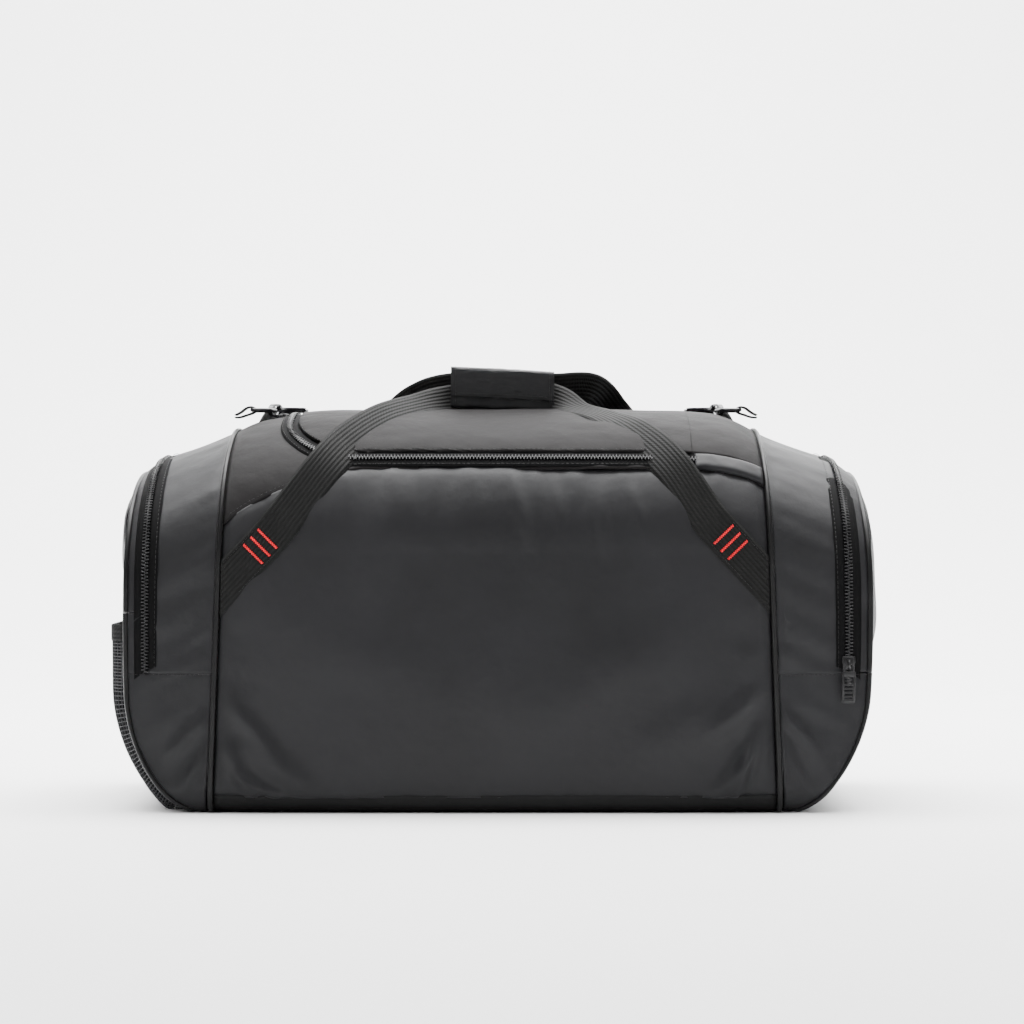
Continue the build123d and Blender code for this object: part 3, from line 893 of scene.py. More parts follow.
def end_route(end, step):
    """Places along an end pocket's zip, with the direction away from the bag's middle."""
    x = MIRROR[end] * END_ZIP_X
    limit = reach_at(x, ZIP_LOW)
    places = []
    reach = -limit
    while reach < limit:
        places.append((x, reach, float(MIRROR[end]), 0.0))
        reach += step
    return places


def add_tooth(target, point, along, away, normal, size):
    """Add one moulded tooth: a tapered block with softened edges."""
    length, width, height = size
    made = bmesh.ops.create_cube(target, size=1.0)
    for vertex in made["verts"]:
        x, y, z = vertex.co
        taper = (0.72 if z > 0 else 1.0) * (1.25 if y < 0 else 1.0)
        vertex.co = (x * length * taper, (y + 0.5) * width - 0.0007, (z + 0.35) * height)
    turn = Matrix((along, away, normal)).transposed().to_4x4()
    bmesh.ops.transform(target, matrix=Matrix.Translation(point) @ turn, verts=made["verts"])
    soften(target, made["verts"], 0.00025, 1)


# The tape's section: distance from the zip's middle and height over the skin
TAPE = ((0.0009, 0.0011), (0.0035, 0.0013), (0.0065, 0.0011), (0.0105, 0.0007))


def build_zip(name, route, side, body, nodes=(), keep=None):
    """One half of a zip: a row of teeth on a woven tape.

    side is 1 for the half that lies where the route's directions point, and -1 for the other.
    keep(x, reach) says which places of the route the piece takes.
    """
    pitch = bpy.context.scene.bag_zips.tooth_pitch
    teeth = bmesh.new()
    tape = bmesh.new()
    layer = tape.loops.layers.uv.new("cloth")
    first_tooth = 0 if side > 0 else 1
    rows = []
    for index in range(1, len(route) - 1):
        x, reach, dx, dr = route[index]
        if keep and not keep(x, reach):
            rows.append(None)
            continue
        point, normal = spot(x, reach)
        along = (spot(*route[index + 1][:2])[0] - spot(*route[index - 1][:2])[0]).normalized()
        away = spot(x + dx * 0.004, reach + dr * 0.004)[0] - point
        away = (away - along * away.dot(along)).normalized() * side
        up = away.cross(along).normalized()
        if up.dot(normal) < 0:
            up.negate()
        if index % 2 == first_tooth:
            turned = along if along.cross(away).dot(up) > 0 else -along
            size = (pitch * 0.46, 0.0040, 0.0030)
            add_tooth(teeth, point + up * TOOTH_RISE, turned, away, up, size)
        row = []
        for column, (out, lift) in enumerate(TAPE):
            spread, skin_normal = spot(x + dx * side * out, reach + dr * side * out)
            vertex = tape.verts.new(spread + skin_normal * lift)
            row.append((vertex, (index * pitch / 2, column * 0.0032)))
        rows.append(row)
    for first, second in zip(rows, rows[1:]):
        if first is None or second is None:
            continue
        for step in range(len(TAPE) - 1):
            quad = (first[step], first[step + 1], second[step + 1], second[step])
            face = tape.faces.new([vertex for vertex, _ in quad])
            for loop, (_, place) in zip(face.loops, quad):
                loop[layer].uv = place
    face_outward(tape)
    finish_piece(f"{name}_teeth", teeth, body, "teeth", (), smooth=False)
    finish_piece(f"{name}_tape", tape, body, "tape", nodes, wall=0.0008)


def build_zips():
    """The main zip and both end zips."""
    pitch = bpy.context.scene.bag_zips.tooth_pitch
    route = lid_route(pitch / 2)
    build_zip("main_zip_body", route, 1, "bag", ("main_zip_body_side",))
    build_zip(
        "main_zip_lid", route, -1, LID_FOLD, ("main_zip_lid_side",), lambda x, reach: x < LID_RIGHT
    )
    build_zip("main_zip_end", route, -1, "bag", (), lambda x, reach: x >= LID_RIGHT)
    for end, fold in FOLD.items():
        route = end_route(end, pitch / 2)

        def on_flap(x, reach, fold=fold):
            return spot(x, reach)[0].z > fold

        def under_flap(x, reach, fold=fold):
            return spot(x, reach)[0].z <= fold

        build_zip(f"{end}_end_zip_inner", route, -1, "bag", (f"end_zip_body_side_{end}",))
        build_zip(
            f"{end}_end_zip_outer", route, 1, f"{end}_flap", (f"end_zip_flap_side_{end}",), on_flap
        )
        if fold > ZIP_LOW + 0.01:
            build_zip(f"{end}_end_zip_foot", route, 1, "bag", (), under_flap)


# Ends --------------------------------------------------------------------------


def gusset_wrinkles(x, reach, end):
    """Soft unevenness of an end's gusset."""
    seed = 31 if end == "left" else 41
    edge = min(1.0, (abs(x) - SEAM_X) / 0.008)
    out = 0.0026 * ripple(x, reach, 0.08, seed) + 0.0013 * ripple(x * 0.3, reach, 0.02, seed + 1)
    if reach < 0 and 0.0 < spot(x, reach)[0].z < 0.13:
        height = spot(x, reach)[0].z
        out += crease(abs(x), height, (0.285, 0.10), (0.325, 0.055), 0.007, 0.0040)
        out += crease(abs(x), height, (0.283, 0.07), (0.310, 0.020), 0.006, 0.0040)
    near = math.exp(-(abs(x) - SEAM_X) / 0.018)
    out += 0.0016 * near * ripple(x * 0.3, reach, 0.016, seed + 2)
    return out * edge


def gusset_strip(end, inner, outer, low=None, high=None, part=0, columns=26, rows=260):
    """What add_patch needs for a strip of an end's gusset between two distances from the middle.

    With part 0 it runs over the top from one side to the other, and with part -1 or 1 up the
    front or the back. low and high are heights, without which it starts at the underside and
    ends at the ridge.
    """

    def place(u, v):
        x = MIRROR[end] * (inner + (outer - inner) * u)
        start = reach_at(x, size_at(x)[2] if low is None else low)
        stop = 0.0 if high is None else reach_at(x, high)
        reach = part * (start + (stop - start) * v) if part else start * (2 * v - 1)
        point, normal = spot(x, reach)
        return point + normal * gusset_wrinkles(x, reach, end)

    return columns, rows, (outer - inner, 0.9), place


def end_swell(end, y, z):
    """How far an end panel bulges past its piping; it lies flat along the flap's fold."""
    high = min(1.0, max(0.0, (size_at(END_X)[1] - z) / 0.09))
    wide = max(0.0, 1 - (abs(y) / END_DEPTH) ** 4)
    low = min(1.0, max(0.0, z / 0.10))
    bulge = 0.0125 * math.sin(math.pi / 2 * high) * wide * low
    bulge *= 1 - 0.92 * math.exp(-(((z - FOLD[end]) / 0.028) ** 2))
    seed = 51 if end == "left" else 61
    return bulge + 0.0016 * ripple(y, z, 0.06, seed) * min(1.0, wide * 2)


def build_end(end):
    """Gusset, flap, end panel and inner wall of one end pocket."""
    sign, fold = MIRROR[end], FOLD[end]

    def flap_place(u, v):
        depth, top, _ = size_at(END_X)
        z = fold + 0.0006 + (top - 0.0005 - fold) * (1 - (1 - v) ** 1.6)
        half = half_at(depth, top, z)
        y = half * (2 * u - 1)
        out = end_swell(end, y, z) * min(1.0, (half - abs(y)) / 0.02 + (top - z) / 0.05)
        return Vector((sign * (END_X + max(0.0, out)), y, z))

    def panel_place(u, v):
        x, z, out_x, out_z = end_curve(fold, v * (fold - END_CORNER + END_ARC), END_ARC, 0.0002)
        y = end_half(x, z) * (2 * u - 1)
        share = (x - SEAM_X) / (END_X - SEAM_X)
        out = max(0.0, end_swell(end, y, max(z, 0.02))) * (0.4 + 0.6 * share)
        return Vector((sign * (x + out * out_x), y, max(0.0006, z + 0.4 * out * out_z)))

    def wall_place(u, v):
        x = PANEL_X + 0.003
        depth, top, _ = size_at(x)
        z = 0.005 + (top - 0.009) * (1 - (1 - v) ** 1.5)
        y = (half_at(depth, top, z) - 0.004 - corner_cut(z)) * (2 * u - 1)
        return Vector((sign * (x + 0.002 * ripple(y, z, 0.12, 71)), y, z))

    inner, outer = SEAM_X - 0.001, END_ZIP_X - 0.001
    gusset = bmesh.new()
    add_patch(gusset, *gusset_strip(end, inner, outer, ZIP_LOW))
    for part in (-1, 1):
        add_patch(gusset, *gusset_strip(end, inner, END_X, None, ZIP_LOW, part, 30, 80))
        if fold > ZIP_LOW + 0.01:
            add_patch(gusset, *gusset_strip(end, outer, END_X, ZIP_LOW, fold, part, 8, 24))
    face_outward(gusset)
    finish_piece(
        f"end_gusset_{end}_cloth", gusset, "bag", "body", (f"end_gusset_{end}",),
        wall=PANEL_WALL,
    )
    flap = bmesh.new()
    add_patch(flap, 110, 70, (0.35, 0.2), flap_place)
    add_patch(flap, *gusset_strip(end, END_ZIP_X + 0.0015, END_X, fold + 0.0006))
    face_outward(flap)
    finish_piece(
        f"end_flap_{end}_cloth", flap, f"{end}_flap", "body", (f"end_flap_{end}",),
        wall=END_WALL,
    )
    panel = bmesh.new()
    add_patch(panel, 110, 80, (0.35, 0.3), panel_place)
    face_outward(panel)
    finish_piece(
        f"end_panel_{end}_cloth", panel, "bag", "body", (f"end_panel_{end}",),
        wall=END_WALL,
    )
    divider = bmesh.new()
    add_patch(divider, 60, 60, (0.36, 0.39), wall_place)
    finish_piece(
        f"divider_{end}_cloth", divider, "bag", "lining", (f"divider_{end}",),
        wall=0.0018, offset=0.0,
    )


def build_ends():
    """Both end pockets."""
    for end in MIRROR:
        build_end(end)


def section_line(x, count, lift, low=None):
    """Points round the bag's section at x, closed over the base, or open above a height."""
    limit = profile(x)[1][-1] if low is None else reach_at(x, low)
    steps = count if low is None else count - 1
    points = []
    for index in range(count):
        point, normal = spot(x, -limit + 2 * limit * index / steps)
        point += normal * lift
        point.z = max(point.z, 0.0028)
        points.append(point)
    return points


def build_piping():
    """Satin piping along the seams of both ends."""
    for end, sign in MIRROR.items():
        fold = FOLD[end]
        seam, upper, lower = bmesh.new(), bmesh.new(), bmesh.new()
        around = section_line(sign * (PANEL_X + 0.0028), 300, 0.0008)
        add_tube(seam, around, 0.0027, closed=True, sides=10)
        over = section_line(sign * (END_X + 0.0002), 220, 0.0006, fold + 0.0003)
        add_tube(upper, over, 0.0024, sides=10)
        for part in (-1, 1):
            line = []
            for index in range(90):
                along = (fold - END_CORNER + END_ARC) * index / 89
                x, z, _, _ = end_curve(fold, along, END_ARC, -0.0001)
                y = part * (end_half(x, z) + 0.0006)
                line.append(Vector((sign * (x + 0.0004), y, max(z, 0.0026))))
            add_tube(lower, line, 0.0024, sides=10)
        pieces = (("main", seam, "bag"), ("flap", upper, f"{end}_flap"), ("end", lower, "bag"))
        for name, shape, body in pieces:
            node = f"{name}_piping_{end}"
            finish_piece(f"{node}_satin", shape, body, "piping", (node,))


# Mesh pocket -------------------------------------------------------------------


def build_pocket():
    """The knitted mesh pocket on the left end, with its elastic binding."""
    low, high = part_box("mesh_pocket")
    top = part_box("mesh_pocket_binding")[1].z - 0.003
    net = bmesh.new()

    def net_point(u, v, lift=0.0):
        """A place of the net; u runs along the bag's depth and v from the top down."""
        arc = 1.25 * END_CORNER
        x, z, out_x, out_z = end_curve(top, v * (top - END_CORNER + 0.80 * arc), arc)
        y = low.y + (high.y - low.y) * u
        side = min(1.0, min(u, 1 - u) / 0.06)
        bottom = min(1.0, (1 - v) / 0.12)
        out = 0.004 + 0.0130 * math.sin(math.pi / 2 * side) * math.sin(math.pi / 2 * bottom)
        out += 0.0012 * ripple(y, z, 0.05, 81) + lift
        return Vector((-(x + out * out_x), y, z + out * out_z))

    add_patch(net, 88, 54, (high.y - low.y, 0.2), lambda u, v: net_point(u, v * 0.93 + 0.07))
    face_outward(net)
    bmesh.ops.wireframe(
        net, faces=net.faces[:], thickness=0.0010, offset=0.5, use_replace=True,
        use_boundary=True, use_even_offset=True,
    )
    finish_piece("mesh_pocket_net", net, "bag", "mesh", ("mesh_pocket",))
    shares = [index / 89 for index in range(90)]
    points = [net_point(u, 0.045, 0.0004) for u in shares]
    acrosses = [(net_point(u, 0.0) - net_point(u, 0.09)).normalized() for u in shares]
    elastic = bmesh.new()
    add_ribbon(elastic, points, acrosses, 0.017, [Vector((-1, 0, 0))] * 90, thickness=0.0024)
    bmesh.ops.recalc_face_normals(elastic, faces=elastic.faces[:])
    finish_piece(
        "mesh_pocket_elastic", elastic, "bag", "binding",
        ("mesh_pocket_binding",),
    )


# Handles -----------------------------------------------------------------------


def on_skin(x, height, side, lift):
    """A point on the side of the bag at a height, lifted off the cloth, and its normal."""
    reach = reach_at(x, height)
    point, normal = spot(x, side * reach)
    extra = panel_wrinkles(x, point.z, side) if abs(x) < PANEL_X else 0.0
    return point + normal * (lift + max(0.0, extra)), normal


def strap_stations(side):
    """Stations of one whole handle from the left piping through the grip to the right piping."""
    stations = []

    def on_bag(x, height, across, lift, lean=0.0):
        point, normal = on_skin(x, height, side, lift)
        turned = (normal[0], normal[1], normal[2] - lean)
        stations.append((point, (across[0], 0, across[1]), turned))

    on_bag(-0.305, 0.196, (0.72, -0.70), 0.0012)
    on_bag(-0.276, 0.226, (0.72, -0.70), 0.0012)
    on_bag(-0.2285, 0.276, (0.72, -0.70), 0.0016)
    on_bag(-0.210, 0.298, (0.76, -0.65), 0.0024)
    on_bag(-0.172, 0.343, (0.80, -0.60), 0.0065, 0.3)
    free = (
        ((-0.146, 0.136, 0.376), (0.74, 0.20, -0.64), (0, 0.9, 0.40)),
        ((-0.112, 0.092, 0.400), (0.60, 0.42, -0.60), (0, 0.75, 0.60)),
        ((-0.074, 0.044, 0.413), (0.36, 0.62, -0.64), (0, 0.60, 0.70)),
        ((-0.042, 0.014, 0.419), (0.05, 0.42, -0.90), (0, 0.9, 0.4)),
        ((0.006, 0.008, 0.430), (0, 0.22, -0.97), (0, 0.97, 0.22)),
        ((0.054, 0.014, 0.421), (-0.05, 0.45, -0.88), (0, 0.9, 0.3)),
        ((0.082, 0.040, 0.411), (-0.30, 0.86, -0.30), (0, 0.35, 0.9)),
        ((0.112, 0.078, 0.402), (-0.52, 0.80, -0.26), (0, 0.35, 0.93)),
        ((0.142, 0.120, 0.384), (-0.70, 0.46, -0.52), (0, 0.70, 0.70)),
    )
    if side > 0:
        free = (
            ((-0.144, 0.132, 0.380), (0.72, 0.35, -0.58), (0, 0.75, 0.66)),
            ((-0.108, 0.084, 0.406), (0.62, 0.55, -0.55), (0, 0.6, 0.8)),
            ((-0.082, 0.040, 0.422), (0.40, 0.40, -0.80), (0, 0.85, 0.5)),
            ((-0.050, 0.011, 0.430), (0.05, 0.22, -0.96), (0, 0.97, 0.2)),
            ((0.006, 0.006, 0.432), (0, 0.20, -0.97), (0, 0.97, 0.2)),
            ((0.060, 0.010, 0.430), (0, 0.22, -0.96), (0, 0.97, 0.2)),
            ((0.100, 0.020, 0.431), (-0.20, 0.30, -0.92), (0, 0.9, 0.4)),
            ((0.122, 0.062, 0.414), (-0.62, 0.55, -0.52), (0, 0.6, 0.8)),
            ((0.146, 0.116, 0.388), (-0.72, 0.40, -0.52), (0, 0.75, 0.66)),
        )
    for point, across, normal in free:
        stations.append(
            (
                (point[0], side * point[1], point[2]),
                (across[0], side * across[1], across[2]),
                (normal[0], side * normal[1], normal[2]),
            )
        )
    on_bag(0.178, 0.345, (-0.80, -0.60), 0.0065, 0.3)
    on_bag(0.212, 0.300, (-0.76, -0.65), 0.0024)
    on_bag(0.2335, 0.276, (-0.72, -0.70), 0.0016)
    on_bag(0.276, 0.230, (-0.72, -0.70), 0.0012)
    on_bag(0.305, 0.199, (-0.72, -0.70), 0.0012)
    return stations


def sew_edges(target, run, points, acrosses, normals):
    """Stitch both edges of the sewn stretch of a handle; run holds its places on the line."""
    for edge in (-0.016, 0.016):
        line, facing = [], []
        for first, second in zip(run, run[1:]):
            for share in (0.0, 0.25, 0.5, 0.75):
                point = points[first].lerp(points[second], share)
                line.append(point + acrosses[first] * edge + normals[first] * 0.0012)
                facing.append(normals[first])
        add_stitches(target, line, facing)


def sew_tacks(target, run, points, acrosses, normals):
    """Three bar tacks of zigzag stitches across the sewn stretch of a handle."""
    middle = min(run, key=lambda i: abs(abs(points[i].x) - TACK[0]))
    along = (points[run[-1]] - points[run[0]]).normalized()
    across = acrosses[middle]
    across = (across - along * across.dot(along)).normalized()
    strokes = 24
    for row in range(3):
        centre = points[middle] - along * (0.0105 * row - 0.003) + normals[middle] * 0.0016
        for stroke in range(strokes):
            place = centre + across * (0.0265 * (stroke / (strokes - 1) - 0.5))
            lean = along * 0.0016 + across * 0.0004 * (1 if stroke % 2 else -1)
            add_thread(target, place - lean, place + lean, 0.00062, normals[middle])


def build_handles():
    """Both handles, with their sewn ends, edge stitching and red bar tacks."""
    for name, side in (("front", -1), ("rear", 1)):
        strap = bmesh.new()
        points, acrosses, normals = smooth_run(strap_stations(side), 330)
        add_ribbon(strap, points, acrosses, WEBBING + 0.002, normals, thickness=0.0021)
        for end in (-1, 1):
            cut = bmesh.ops.bisect_plane(
                strap, geom=strap.verts[:] + strap.edges[:] + strap.faces[:], dist=1e-6,
                plane_co=(end * (PANEL_X - 0.0005), 0, 0), plane_no=(end, 0, 0),
                clear_outer=True,
            )
            rim = [item for item in cut["geom_cut"] if isinstance(item, bmesh.types.BMEdge)]
            bmesh.ops.holes_fill(strap, edges=rim, sides=0)
        bmesh.ops.recalc_face_normals(strap, faces=strap.faces[:])
        low, high = (0, side * DEPTH, TACK[1]), (0, side * DEPTH, TACK[1] + 0.05)
        finish_piece(
            f"{name}_handle_webbing", strap, ("bag", f"{name}_grip", low, high), "webbing",
            (f"{name}_handle", f"{name}_strap_ends"),
        )
        tacks = bmesh.new()
        edges = bmesh.new()
        sewn = [i for i, p in enumerate(points) if TACK[0] - 0.004 < abs(p.x) < PANEL_X - 0.006]
        for part in (-1, 1):
            run = [i for i in sewn if points[i].x * part > 0][::-part]
            sew_edges(edges, run, points, acrosses, normals)
            sew_tacks(tacks, run, points, acrosses, normals)
        finish_piece(
            f"{name}_bar_tack_thread", tacks, "bag", "red", (f"{name}_bar_tacks",)
        )
        finish_piece(f"{name}_handle_stitching", edges, "bag", "thread", ())


def rounded_outline(corners, radius=0.005, steps=5, spacing=0.0025):
    """Close points along an open outline, with its inner corners rounded off."""
    outline = [Vector(corners[0])]
    for before, corner, after in zip(corners, corners[1:], corners[2:]):
        corner = Vector(corner)
        start = corner + (Vector(before) - corner).normalized() * radius
        end = corner + (Vector(after) - corner).normalized() * radius
        for step in range(steps + 1):
            t = step / steps
            outline.append((1 - t) ** 2 * start + 2 * t * (1 - t) * corner + t * t * end)
    outline.append(Vector(corners[-1]))
    dense = []
    for a, b in zip(outline, outline[1:]):
        pieces = max(1, int((b - a).length / spacing))
        dense += [a.lerp(b, step / pieces) for step in range(pieces)]
    return dense + [outline[-1]]


def build_grip():
    """The wrap round both handles: an inner and a front part, and the flap that closes it."""
    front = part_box("grip_wrap")
    centre_x, half = 0.007, 0.0545
    top, bottom = front[1].z, front[0].z
    middle = (top + bottom) / 2
    tilt = 0.0028
    # Each part's outline across the grip as (y, z), the body it rides on, and the row, as a share
    # of the outline, where a line of stitches runs along it
    parts = {
        "grip_wrap": (
            ((-0.012, top - 0.0006), (-0.0215, top - 0.001), (-0.0225, bottom + 0.0005),
             (0.015, bottom + 0.0005)),
            "front_grip", None,
        ),
        "grip_front": (
            ((-0.0240, bottom + 0.0125), (-0.0245, top + 0.0008), (-0.0172, top + 0.0010)),
            "front_grip", 0.10,
        ),
        "grip_flap": (
            ((-0.0176, top + 0.0012), (0.0175, top + 0.0008), (0.0180, bottom + 0.0015)),
            "wrap_flap", 0.95,
        ),
    }
    for node, (corners, body, row) in parts.items():
        outline = rounded_outline(corners)

        def place(u, v, outline=outline):
            """A place of the part, pinched at its ends and swollen in the middle."""
            index = min(len(outline) - 2, int(v * (len(outline) - 1)))
            y, z = outline[index].lerp(outline[index + 1], v * (len(outline) - 1) - index)
            pinch = 1 - 0.10 * abs(2 * u - 1) ** 6
            y *= 0.93 + 0.07 * pinch
            z = middle + (z - middle) * (0.96 + 0.04 * pinch)
            x = centre_x + half * (2 * u - 1)
            waver = 0.0012 * ripple(x, v * 0.12, 0.03, 91) + 0.0006 * ripple(x, v * 0.12, 0.009, 92)
            swell = 0.0016 * math.sin(math.pi * u) ** 0.5 * (1 if y > 0 else -1)
            return Vector((x, y + waver + swell, z - tilt * (2 * u - 1) + 0.5 * waver))

        cloth = bmesh.new()
        add_patch(cloth, 64, len(outline) * 2, (2 * half, 0.12), place)
        face_outward(cloth, (centre_x, -0.002, middle))
        stands_for = () if node == "grip_front" else (node,)
        finish_piece(f"{node}_cloth", cloth, body, "grip", stands_for, wall=0.0018)
        stitching = bmesh.new()
        for u in (0.045, 0.955):
            line = [place(u, 0.02 + 0.96 * step / 200) for step in range(201)]
            facing = [Vector((0, p.y + 0.002, p.z - middle)).normalized() for p in line]
            lifted = [point + normal * 0.0003 for point, normal in zip(line, facing)]
            add_stitches(stitching, lifted, facing, pitch=0.0036)
        if row:
            facing = Vector((0, -1 if row < 0.5 else 1, 0))
            line = [place(0.05 + 0.9 * step / 200, row) + facing * 0.0003 for step in range(201)]
            add_stitches(stitching, line, [facing] * len(line), pitch=0.0036)
        finish_piece(f"{node}_stitching", stitching, body, "thread", ())


# Seams and tabs ----------------------------------------------------------------


def build_stitching():
    """Rows of stitches along the seams of the panels."""
    thread = bmesh.new()
    lid_thread = bmesh.new()
    count = 620
    xs = [-PANEL_X + 0.006 + (2 * PANEL_X - 0.012) * i / (count - 1) for i in range(count)]
    for side in (-1, 1):
        places = [(x, side * (upper_seam(x) - 0.0035)) for x in xs]
        add_stitches(thread, *skin_line(places, 0.0012))
    route = lid_route(0.001)
    inner = [(x - dx * 0.0118, r - dr * 0.0118) for x, r, dx, dr in route if x < LID_RIGHT - 0.004]
    add_stitches(lid_thread, *skin_line(inner, 0.0010, lid_puff))
    outer = [(x + dx * 0.0085, r + dr * 0.0085) for x, r, dx, dr in route]
    add_stitches(thread, *skin_line(outer, 0.0022))
    for end, sign in MIRROR.items():
        places = [(x - sign * 0.0088, reach) for x, reach, _, _ in end_route(end, 0.001)]
        add_stitches(thread, *skin_line(places, 0.0020))
        xs = [sign * (SEAM_X + 0.002 + (END_X - SEAM_X - 0.008) * i / 69) for i in range(70)]
        for side in (-1, 1):
            places = [(x, side * reach_at(x, ZIP_LOW - 0.001)) for x in xs]
            add_stitches(thread, *skin_line(places, 0.0018))
    finish_piece("seam_stitching", thread, "bag", "thread", ())
    finish_piece("lid_stitching", lid_thread, LID_FOLD, "thread", ())


def build_tabs():
    """Cloth tabs over the closed ends of the main zip."""
    cloth = bmesh.new()
    stop = PANEL_X - 0.001
    for side, start in ((-1, LID_RIGHT + 0.006), (1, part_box("zip_end_tabs")[0].x)):

        def place(u, v, side=side, start=start):
            x = start + (stop - start) * u
            reach = ZIP_REACH + 0.0125 - 0.023 * v
            point, normal = spot(x, side * reach)
            crown = 0.0042 * (1 - abs(2 * v - 1) ** 5) * min(1.0, 0.55 + u * 3)
            return point + normal * (0.0008 + crown + 0.0006 * ripple(x, reach, 0.012, 95))

        add_patch(cloth, 30, 18, (0.05, 0.024), place)
    face_outward(cloth)
    finish_piece(
        "zip_end_tab_cloth", cloth, "bag", "body", ("zip_end_tabs",), wall=0.0012
    )


# Hardware ----------------------------------------------------------------------


def pull_shape():
    """A moulded pull tab lying along -X from its pin at the origin, facing +Z."""
    pull = bmesh.new()
    turns = [2 * math.pi * index / 24 for index in range(24)]
    wire = [Vector((-0.0042 + 0.0052 * math.cos(t), 0.0036 * math.sin(t), 0)) for t in turns]
    add_tube(pull, wire, 0.0008, closed=True)
    for side in (-1, 1):
        add_block(pull, (-0.0225, side * 0.0048, 0), (0.0300, 0.0022, 0.0026), 0.0007)
    add_block(pull, (-0.0095, 0, 0), (0.0060, 0.0110, 0.0028), 0.0009)
    add_block(pull, (-0.0365, 0, 0), (0.0040, 0.0110, 0.0026), 0.0009)
    for index in range(4):
        add_block(pull, (-0.0200 - 0.0040 * index, 0, 0), (0.0018, 0.0095, 0.0024), 0.0006)
    shares = [index / 39 for index in range(40)]
    cord = [Vector((-0.0120 - 0.0085 * s, 0.0016 * math.sin(16 * s), 0.0004)) for s in shares]
    add_tube(pull, cord, 0.0014)
    return pull


def slider_shape():
    """A zip slider with its nose along X, its base at z = 0 and an arched bridge."""
    slider = bmesh.new()
    add_block(slider, (0, 0, 0.0014), (0.0150, 0.0102, 0.0016), 0.0006, 3)
    add_block(slider, (0.0035, 0, 0.0008), (0.0070, 0.0112, 0.0020), 0.0007, 3)
    add_block(slider, (0, 0, 0.0030), (0.0125, 0.0080, 0.0012))
    turns = [math.pi * index / 13 for index in range(14)]
    arch = [Vector((-0.0010 + 0.0048 * math.cos(t), 0, 0.0034 + 0.0044 * math.sin(t))) for t in turns]
    add_tube(slider, arch, 0.0011)
    return slider


def local_frame(origin, along, up):
    """The matrix that places a shape with its X along one direction and Z along another."""
    x = Vector(along).normalized()
    z = Vector(up)
    z = (z - x * z.dot(x)).normalized()
    y = z.cross(x)
    turn = Matrix((x, y, z)).transposed().to_4x4()
    return Matrix.Translation(origin) @ turn


def build_sliders():
    """Sliders and pull tabs of the three zips."""
    low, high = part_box("main_zip_slider")
    x = (low.x + high.x) / 2
    point, normal = spot(x, length_to(x, LID_SIDE))
    places = {"main_zip": ("main", local_frame(point + normal * 0.004, (-1, 0, 0), normal))}
    for end, sign in MIRROR.items():
        low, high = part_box(f"{end}_end_zip_slider")
        middle = (low + high) / 2
        side = -1 if middle.y < 0 else 1
        point, normal = spot(sign * END_ZIP_X, side * reach_at(END_ZIP_X, middle.z))
        places[f"{end}_end_zip"] = (end, local_frame(point + normal * 0.0022, (0, 0, 1), normal))
    for name, (body, place) in places.items():
        slider = slider_shape()
        bmesh.ops.transform(slider, matrix=place, verts=slider.verts[:])
        finish_piece(
            f"{name}_slider_metal", slider, f"{body}_slider", "slider", (f"{name}_slider",),
        )
        pull = pull_shape()
        hang = place @ Matrix.Translation((-0.001, 0, 0.0054))
        bmesh.ops.transform(pull, matrix=hang, verts=pull.verts[:])
        finish_piece(
            f"{name}_pull_tab", pull, f"{body}_pull", "pull", (f"{name}_pull",)
        )


def build_rings():
    """Ring tabs of webbing, and the finish of the rings, hooks, gates and eyes."""
    route = (
        (0.0190, -0.0078), (0.0130, -0.0072), (0.0062, -0.0050), (0.0010, -0.0032),
        (-0.0030, 0.0), (0.0006, 0.0034), (0.0070, 0.0024), (0.0130, -0.0020), (0.0190, -0.0052),
    )
    for end, sign in MIRROR.items():
        low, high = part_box(f"strap_ring_{end}")
        bar = high.x - 0.0020 if sign > 0 else low.x + 0.0020
        middle = (low.z + high.z) / 2
        stations = [((bar + sign * x, 0, middle + z), (0, 1, 0), (0, 0, 1)) for x, z in route]
        points, acrosses, _ = smooth_run(stations, 60)
        tab = bmesh.new()
        add_ribbon(tab, points, acrosses, 0.0250)
        bmesh.ops.recalc_face_normals(tab, faces=tab.faces[:])
        finish_piece(
            f"ring_tab_{end}_webbing", tab, "bag", "webbing", (f"ring_tab_{end}",),
            settled=False,
        )
        metal = ("strap_ring", "snap_hook", "hook_gate", "strap_eye")
        refinish([f"{node}_{end}" for node in metal], "hook")


# Shoulder strap ----------------------------------------------------------------


STRAP_END = (
    ((0.2233, 0.0377, 0.4134), (0.95, 0.3, 0), (0, 0, 1)),
    ((0.2273, 0.0547, 0.4134), (0.98, -0.1, 0), (0, 0, 1)),
    ((0.2393, 0.092, 0.4044), (0.95, -0.3, 0), (0, 0.35, 0.94)),
    ((0.249, 0.124, 0.386), (1, -0.1, 0), (0, 0.5, 0.87)),
    ((0.258, 0.161, 0.3575), (1, -0.1, 0), (0, 0.74, 0.67)),
    ((0.259, 0.1875, 0.3186), (1, -0.1, 0), (0, 0.91, 0.41)),
    ((0.258, 0.197, 0.282), (1, 0, 0), (0, 1, 0)),
    ((0.258, 0.198, 0.262), (1, 0, 0), (0, 1, 0)),
)
STRAP_SIDE = (
    ((0.258, 0.198, 0.262), (1, 0, 0), (0, 1, 0)),
    ((0.253, 0.203, 0.222), (0.94, -0.34, -0.1), (0.34, 0.94, 0)),
    ((0.238, 0.211, 0.180), (0.7, -0.68, -0.36), (0.66, 0.7, -0.3)),
    ((0.208, 0.219, 0.140), (0.2, -0.97, -0.2), (0.7, 0.2, -0.68)),
    ((0.158, 0.222, 0.108), (0, -1, 0), (0.5, 0, -0.85)),
    ((0.096, 0.222, 0.088), (0, -1, 0), (0.21, 0, -0.98)),
    ((0.045, 0.222, 0.080), (0, -1, 0), (0.1, 0, -0.99)),
)


